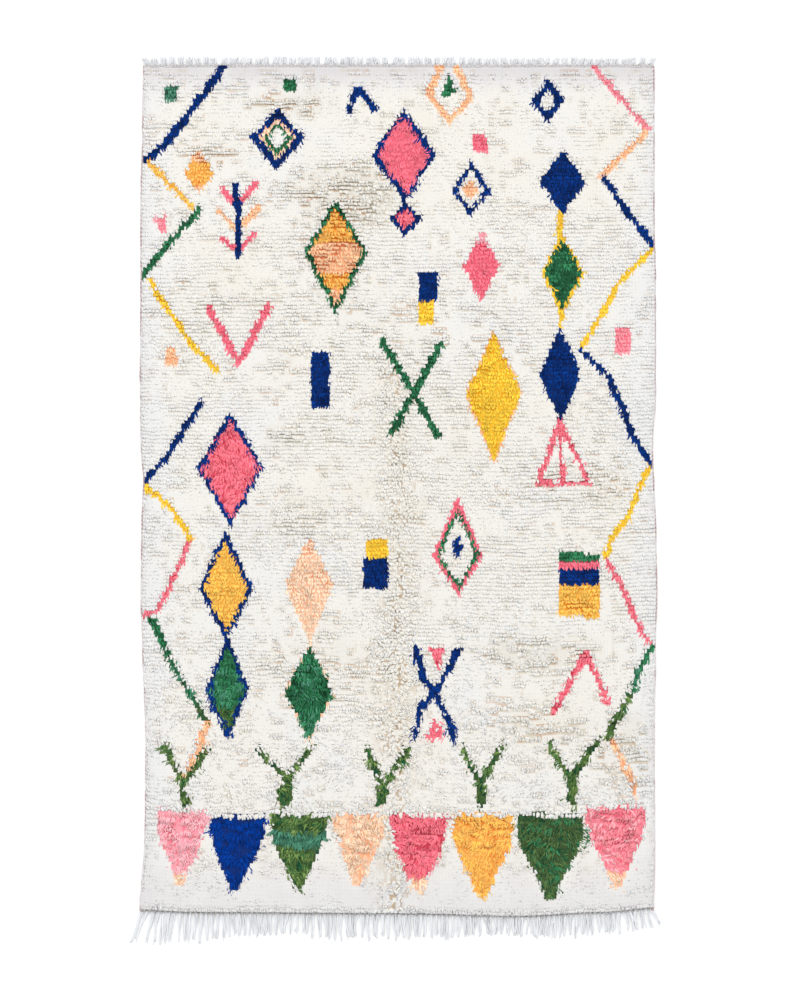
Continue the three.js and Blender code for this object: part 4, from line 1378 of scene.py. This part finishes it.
# %% Selvedge cords
SELVEDGE_RADIUS = 0.0049
SELVEDGE_STEP = 0.0050
SELVEDGE_END = 0.002  # the cords stop this short of the ends
WRAP_PITCH = 0.0126
CORD_INSET, CORD_HEIGHT = 0.8, 1.28  # the cord's middle from the side and the floor, in radii
WRAP_THIN, WRAP_SWELL = 0.88, 0.16  # share of the radius between two turns, and what a turn adds
SELVEDGE_SWAY = dict(pitch=0.03, height=0.0008, seed=61)
SELVEDGE_LUMPS = dict(pitch=0.02, height=0.10, seed=62)
SELVEDGE_LIFT = dict(pitch=0.05, height=0.0006, seed=63)

selvedges = []
cord_top, cord_bottom = top_end - SELVEDGE_END, bottom_edge(0.0) + SELVEDGE_END
cord_y = np.linspace(cord_top, cord_bottom, round(length / SELVEDGE_STEP))
for name, edge_of, inward in (("selvedge_left", left_edge, 1), ("selvedge_right", right_edge, -1)):
    sway = hills(cord_y, 0 * cord_y, **SELVEDGE_SWAY)
    cord_x = edge_of(cord_y) + inward * SELVEDGE_RADIUS * CORD_INSET + sway
    cord_z = SELVEDGE_RADIUS * CORD_HEIGHT + hills(cord_y, 0 * cord_y, **SELVEDGE_LIFT)
    wrap = np.abs(np.sin(np.pi * cord_y / WRAP_PITCH))
    lumps = hills(cord_y, 0 * cord_y + inward, **SELVEDGE_LUMPS)
    radius = SELVEDGE_RADIUS * (WRAP_THIN + WRAP_SWELL * wrap + lumps)
    cord_path = np.stack([cord_x, cord_y, cord_z], -1)[None]
    cord = rods(name, cord_path, radius[None, :-1], 6, np.array([0]), 1, np.zeros(1))
    selvedges.append(cord)
    print(name, triangles(cord), "triangles")

# %% [markdown]
# ## Fringes
# The warps run out at both ends of the cloth. At the top they are trimmed to short fans, and at the bottom
# they hang in long bundles that cling together in twos and threes. The bundles are those of the packed
# solids, from the same sizes, and here each is split into its single yarns, which wind loosely round their
# bundle's middle.

# %% Bundles of the fringes
SEAM_GAP, STRIP_WIDTH, ROOT_DEPTH = 0.0003, 0.009, 0.4
CLUSTER_LENGTH = 0.068
LEAN_SPREAD, REACH_SPREAD = 0.0012, 0.16
RUN = dict(reach=31, lean=7, phase=53)
# Reach past the edge and lean of the tips, in columns: x, reach, lean
TOP_REACH = np.array([
    (-0.750, 0.024, -0.008), (-0.690, 0.028, -0.002), (-0.200, 0.029, 0.001),
    (0.180, 0.027, -0.001), (0.690, 0.026, 0.003), (0.750, 0.024, 0.009),
])
BOTTOM_REACH = np.array([
    (-0.750, 0.104, -0.038), (-0.705, 0.106, -0.012), (-0.590, 0.100, -0.003), (-0.480, 0.078, 0.004),
    (-0.290, 0.070, -0.004), (-0.190, 0.088, 0.004), (0.110, 0.080, -0.003), (0.290, 0.064, 0.003),
    (0.450, 0.076, -0.004), (0.620, 0.074, 0.004), (0.705, 0.068, 0.010), (0.750, 0.062, 0.030),
])


def fraction(number):
    """A repeatable fraction for each whole number: the part after the point of a large sine."""
    spread_out = np.sin(number * 12.9898 + 4.1414) * 43758.5453
    return spread_out - np.floor(spread_out)


def eased_column(table, x, column):
    """A column of a table at each x, eased between its rows."""
    after = np.clip(np.searchsorted(table[:, 0], x), 1, len(table) - 1)
    low, high = table[after - 1], table[after]
    return mix(low[:, column], high[:, column], ease((x - low[:, 0]) / (high[:, 0] - low[:, 0])))


def bundle_lines(table, count, down, gather, sway, steps):
    """The middle lines of a fringe's bundles: root plus reach and lean by the share along, with sway."""
    number = np.arange(count)
    x, y = plan((number + 0.5) / count, down)
    side = 1 - 2 * down
    reach = eased_column(table, x, 1) * (1 - REACH_SPREAD * fraction(number + RUN["reach"]))
    lean = eased_column(table, x, 2) - gather * np.sin(2 * np.pi * x / CLUSTER_LENGTH)
    lean += LEAN_SPREAD * (fraction(number + RUN["lean"]) - 0.5)
    phase = 2 * np.pi * fraction(number + RUN["phase"])
    share = np.linspace(0, 1, steps)[None]
    swing = sway * np.sin(np.pi * share) * np.sin(phase[:, None] + 3 * share)
    line_x = x[:, None] + lean[:, None] * share + swing
    root = y + side * (SEAM_GAP + ROOT_DEPTH * STRIP_WIDTH)
    return line_x, mix(root[:, None], (y + side * reach)[:, None], share)


top_lines = bundle_lines(TOP_REACH, count=60, down=0, gather=0.0025, sway=0.0, steps=5)
bottom_lines = bundle_lines(BOTTOM_REACH, count=96, down=1, gather=0.004, sway=0.0018, steps=11)
print("bundles:", len(top_lines[0]), "at the top,", len(bottom_lines[0]), "at the bottom")

# %% [markdown]
# Each yarn of a bundle runs at its own side of the middle line, winds a little round it, ends a little short
# or long, and thins out at the tip. A few stray yarns cross over to their neighbours.

# %% Yarns of the fringes
RESTING = 0.00286  # height of a yarn's middle where it lies on the floor
BUNDLE_DRIFT = 0.0030  # how far a bundle drifts from its line, which opens gaps between some bundles
CUT_CHANCE, SEAT_CHANCE = (-0.07, 0.09), 0.15
WIND_OFF, WIND_UP, WIND_SETTLES, ROOT_UP = 0.0012, 0.0016, 0.45, 0.0012
STRAY_YARNS, STRAY_WAY = 0.10, 0.012
TIP_TAPER, RADIUS_CHANCE = 0.72, (0.8, 1.15)
PALE_STRIPS = (14, STRIPS)  # the tones of the fringe yarns, from pale to white


def fringe_yarns(lines, yarns, half_width, fan, wind, chance):
    """Splits each bundle's line into yarns: a place across and a height, both from a slow turn along it."""
    line_x, line_y = lines
    count, steps = line_x.shape
    share = np.linspace(0, 1, steps)[None]
    number = np.tile(np.arange(yarns), count)
    total = len(number)
    x, y = np.repeat(line_x, yarns, axis=0), np.repeat(line_y, yarns, axis=0)
    cut = 1 + chance.uniform(*CUT_CHANCE, total)[:, None]
    y = y[:, :1] + (y - y[:, :1]) * cut
    seat = (number + 0.5) / yarns * 2 - 1 + chance.uniform(-SEAT_CHANCE, SEAT_CHANCE, total)
    angle = wind * share + chance.uniform(0, 2 * np.pi, total)[:, None]
    off = half_width * seat[:, None] * (1 + fan * share) + WIND_OFF * np.sin(angle)
    stray = chance.uniform(0, 1, total) < STRAY_YARNS
    off = off + stray[:, None] * STRAY_WAY * chance.uniform(-1, 1, total)[:, None] * share**1.5
    off = off + BUNDLE_DRIFT * np.repeat(chance.uniform(-1, 1, count), yarns)[:, None] * np.sqrt(share)
    z = RESTING + WIND_UP * (1 + np.cos(angle)) * (1 - WIND_SETTLES * share) + ROOT_UP * (1 - share)
    return np.stack([x + off, y, z], -1)


def fringe_piece(name, paths, yarn_radius, chance):
    """The fringe's yarns as one piece, each with its own tone and thickness, and thinner towards its tip."""
    taper = mix(1.0, TIP_TAPER, np.linspace(0, 1, paths.shape[1])[:-1] ** 2)
    radii = yarn_radius * taper[None] * chance.uniform(*RADIUS_CHANCE, len(paths))[:, None]
    strip = chance.integers(*PALE_STRIPS, len(paths))
    return rods(name, paths, radii, 3, strip, STRIPS, chance.uniform(0, 1, len(paths)))


top_paths = fringe_yarns(top_lines, 5, 0.0060, 0.9, 3.0, np.random.default_rng(71))
bottom_paths = fringe_yarns(bottom_lines, 3, 0.0034, 0.04, 6.0, np.random.default_rng(73))
fringe_top = fringe_piece("warp_fringe_top", top_paths, 0.0025, np.random.default_rng(72))
fringe_bottom = fringe_piece("warp_fringe_bottom", bottom_paths, 0.0028, np.random.default_rng(74))
for piece in (fringe_top, fringe_bottom):
    print(piece.name, triangles(piece), "triangles")

# %% [markdown]
# ## End cords
# Between the last row of knots and the fringe the weaver twines two yarns across all the warps, which keeps
# the knots from sliding off. Seen from above it is a fine beaded line. Two plies are carried along each end,
# half a turn apart, round the line of the edge.

# %% Twined cords at the ends
TWINE_PITCH = 0.0200
TWINE_STEP = 0.0034
TWINE_OUT, TWINE_HEIGHT = 0.0030, 0.0048
TWINE_REACH = (0.002, 0.998)  # share of the width that it covers
PLY_RADIUS = 0.0018
PLY_OFFSET = 0.0017


def twined_cord(name, down, outward):
    """Two plies along an end of the rug, turning round the edge's line: sine across, cosine in height."""
    steps = round(width / TWINE_STEP)
    x, y = plan(np.linspace(*TWINE_REACH, steps), down)
    angle = 2 * np.pi * x / TWINE_PITCH + np.array([[0], [np.pi]])
    place_y = y + outward * TWINE_OUT + PLY_OFFSET * np.sin(angle)
    place_z = TWINE_HEIGHT + PLY_OFFSET * np.cos(angle)
    paths = np.stack([np.broadcast_to(x, place_y.shape), place_y, place_z], -1)
    radii = np.full((2, steps - 1), PLY_RADIUS)
    cord = rods(name, paths, radii, 4, np.array([0, 1]), 2, np.zeros(2))
    print(name, triangles(cord), "triangles")
    return cord


twines = [twined_cord("twined_edge_top", 0, 1), twined_cord("twined_edge_bottom", 1, -1)]

# %% [markdown]
# ## Yarn of the warps
# The warps and the binding yarns are hard-spun wool, smoother than the pile. Their material reads the same
# kind of map, with a stronger twist and only a little difference between yarns. Along the plies each yarn is
# light on their tops and darker in the grooves between them, which is painted shade. The warps are white with
# a cool cast, the selvedge is bound in a faded pinkish yarn, and both ends are twined in pale yarn, the lower
# one with a deep painted shade between its plies.


# %% Warp material
WARP_FUZZ = dict(across=90.0, along=3.0)
WARP_TONES, WARP_FUZZ_RELIEF = (0.94, 1.04), 0.4
WARP_FEEL = dict(roughness=(0.72, 0.92), bump=(0.6, 0.0004), gloss=0.3, sheen=0.1)


def warp_material(name, strips, turns, dark, light, darkest=1.0):
    """Twisted yarn, read from the rods' map: a tone for each strip, and slanting plies along each rod, with
    painted shade in the grooves between them.
    """
    material, tree, shader = new_material(name)
    _, across, along = map_place(tree)
    around = maths(tree, "FRACT", times(tree, across, float(strips)))
    plies = maths(tree, "ADD", times(tree, along, turns * 2 * math.pi), times(tree, around, 4 * math.pi))
    ply = spread(tree, maths(tree, "SINE", plies), -1.0, 1.0, 0.0, 1.0)
    fuzz_across = times(tree, across, WARP_FUZZ["across"])
    fuzz_along = times(tree, along, turns * WARP_FUZZ["along"])
    fuzz = noise(tree, place_at(tree, fuzz_across, fuzz_along))
    # painted shade: the dark colour lies in the grooves between the plies, where the relief is low, and the
    # light one on their tops
    colour = blend(tree, ply, linear(*dark), linear(*light))
    own_tone = spread(tree, across, 0.0, 1.0, darkest, 1.0)
    value = times(tree, own_tone, spread(tree, fuzz, *NOISE_RANGE, *WARP_TONES))
    relief = maths(tree, "ADD", ply, times(tree, fuzz, WARP_FUZZ_RELIEF))
    finish_fibre(tree, shader, colour, value, fuzz, relief, **WARP_FEEL)
    return material


fringe_wool = warp_material("warp_yarn", STRIPS, 14, (230, 235, 241), (254, 254, 255), 0.84)
cord_wool = warp_material("binding_yarn", 1, 200, (164, 138, 140), (200, 182, 182))
# the lower cord's dark colour is deep painted shade between its plies
twine_wool = warp_material("twining_yarn", 2, 100, (112, 108, 106), (232, 231, 230))
pale_twine_wool = warp_material("pale_twining_yarn", 2, 100, (226, 226, 228), (246, 246, 247))
for piece in (fringe_top, fringe_bottom):
    piece.data.materials.append(fringe_wool)
for piece in selvedges:
    piece.data.materials.append(cord_wool)
for piece, cord_finish in zip(twines, (pale_twine_wool, twine_wool)):
    piece.data.materials.append(cord_finish)
print("yarns:", [yarn.name for yarn in (fringe_wool, cord_wool, twine_wool, pale_twine_wool)])

# %% [markdown]
# ## One rug
# Every piece rides on the rug's one body. The ground, the pile and the selvedges stand for the imported body,
# and each fringe stands for its own node with the twined cord beside it. The ground sheet was woven flat and
# lies flat.

# %% Bodies, nodes and the sheet
added = [ground, *pile_pieces, *selvedges, *twines, fringe_top, fringe_bottom]
for piece in added:
    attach(piece, "root")
for piece in (ground, *pile_pieces, *selvedges):
    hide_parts("pile_body")
for piece in (fringe_top, twines[0]):
    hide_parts("fringe_top")
for piece in (fringe_bottom, twines[1]):
    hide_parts("fringe_bottom")
print("pieces:", len(added), "triangles in all:", sum(triangles(piece) for piece in added))

# %% Sizes, and the end of the script
visual_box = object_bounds()
sizes = {
    "cad": [[round(value, 5) for value in corner] for corner in cad_box],
    "visual": [[round(value, 5) for value in corner] for corner in visual_box],
}
print("boxes:", sizes)
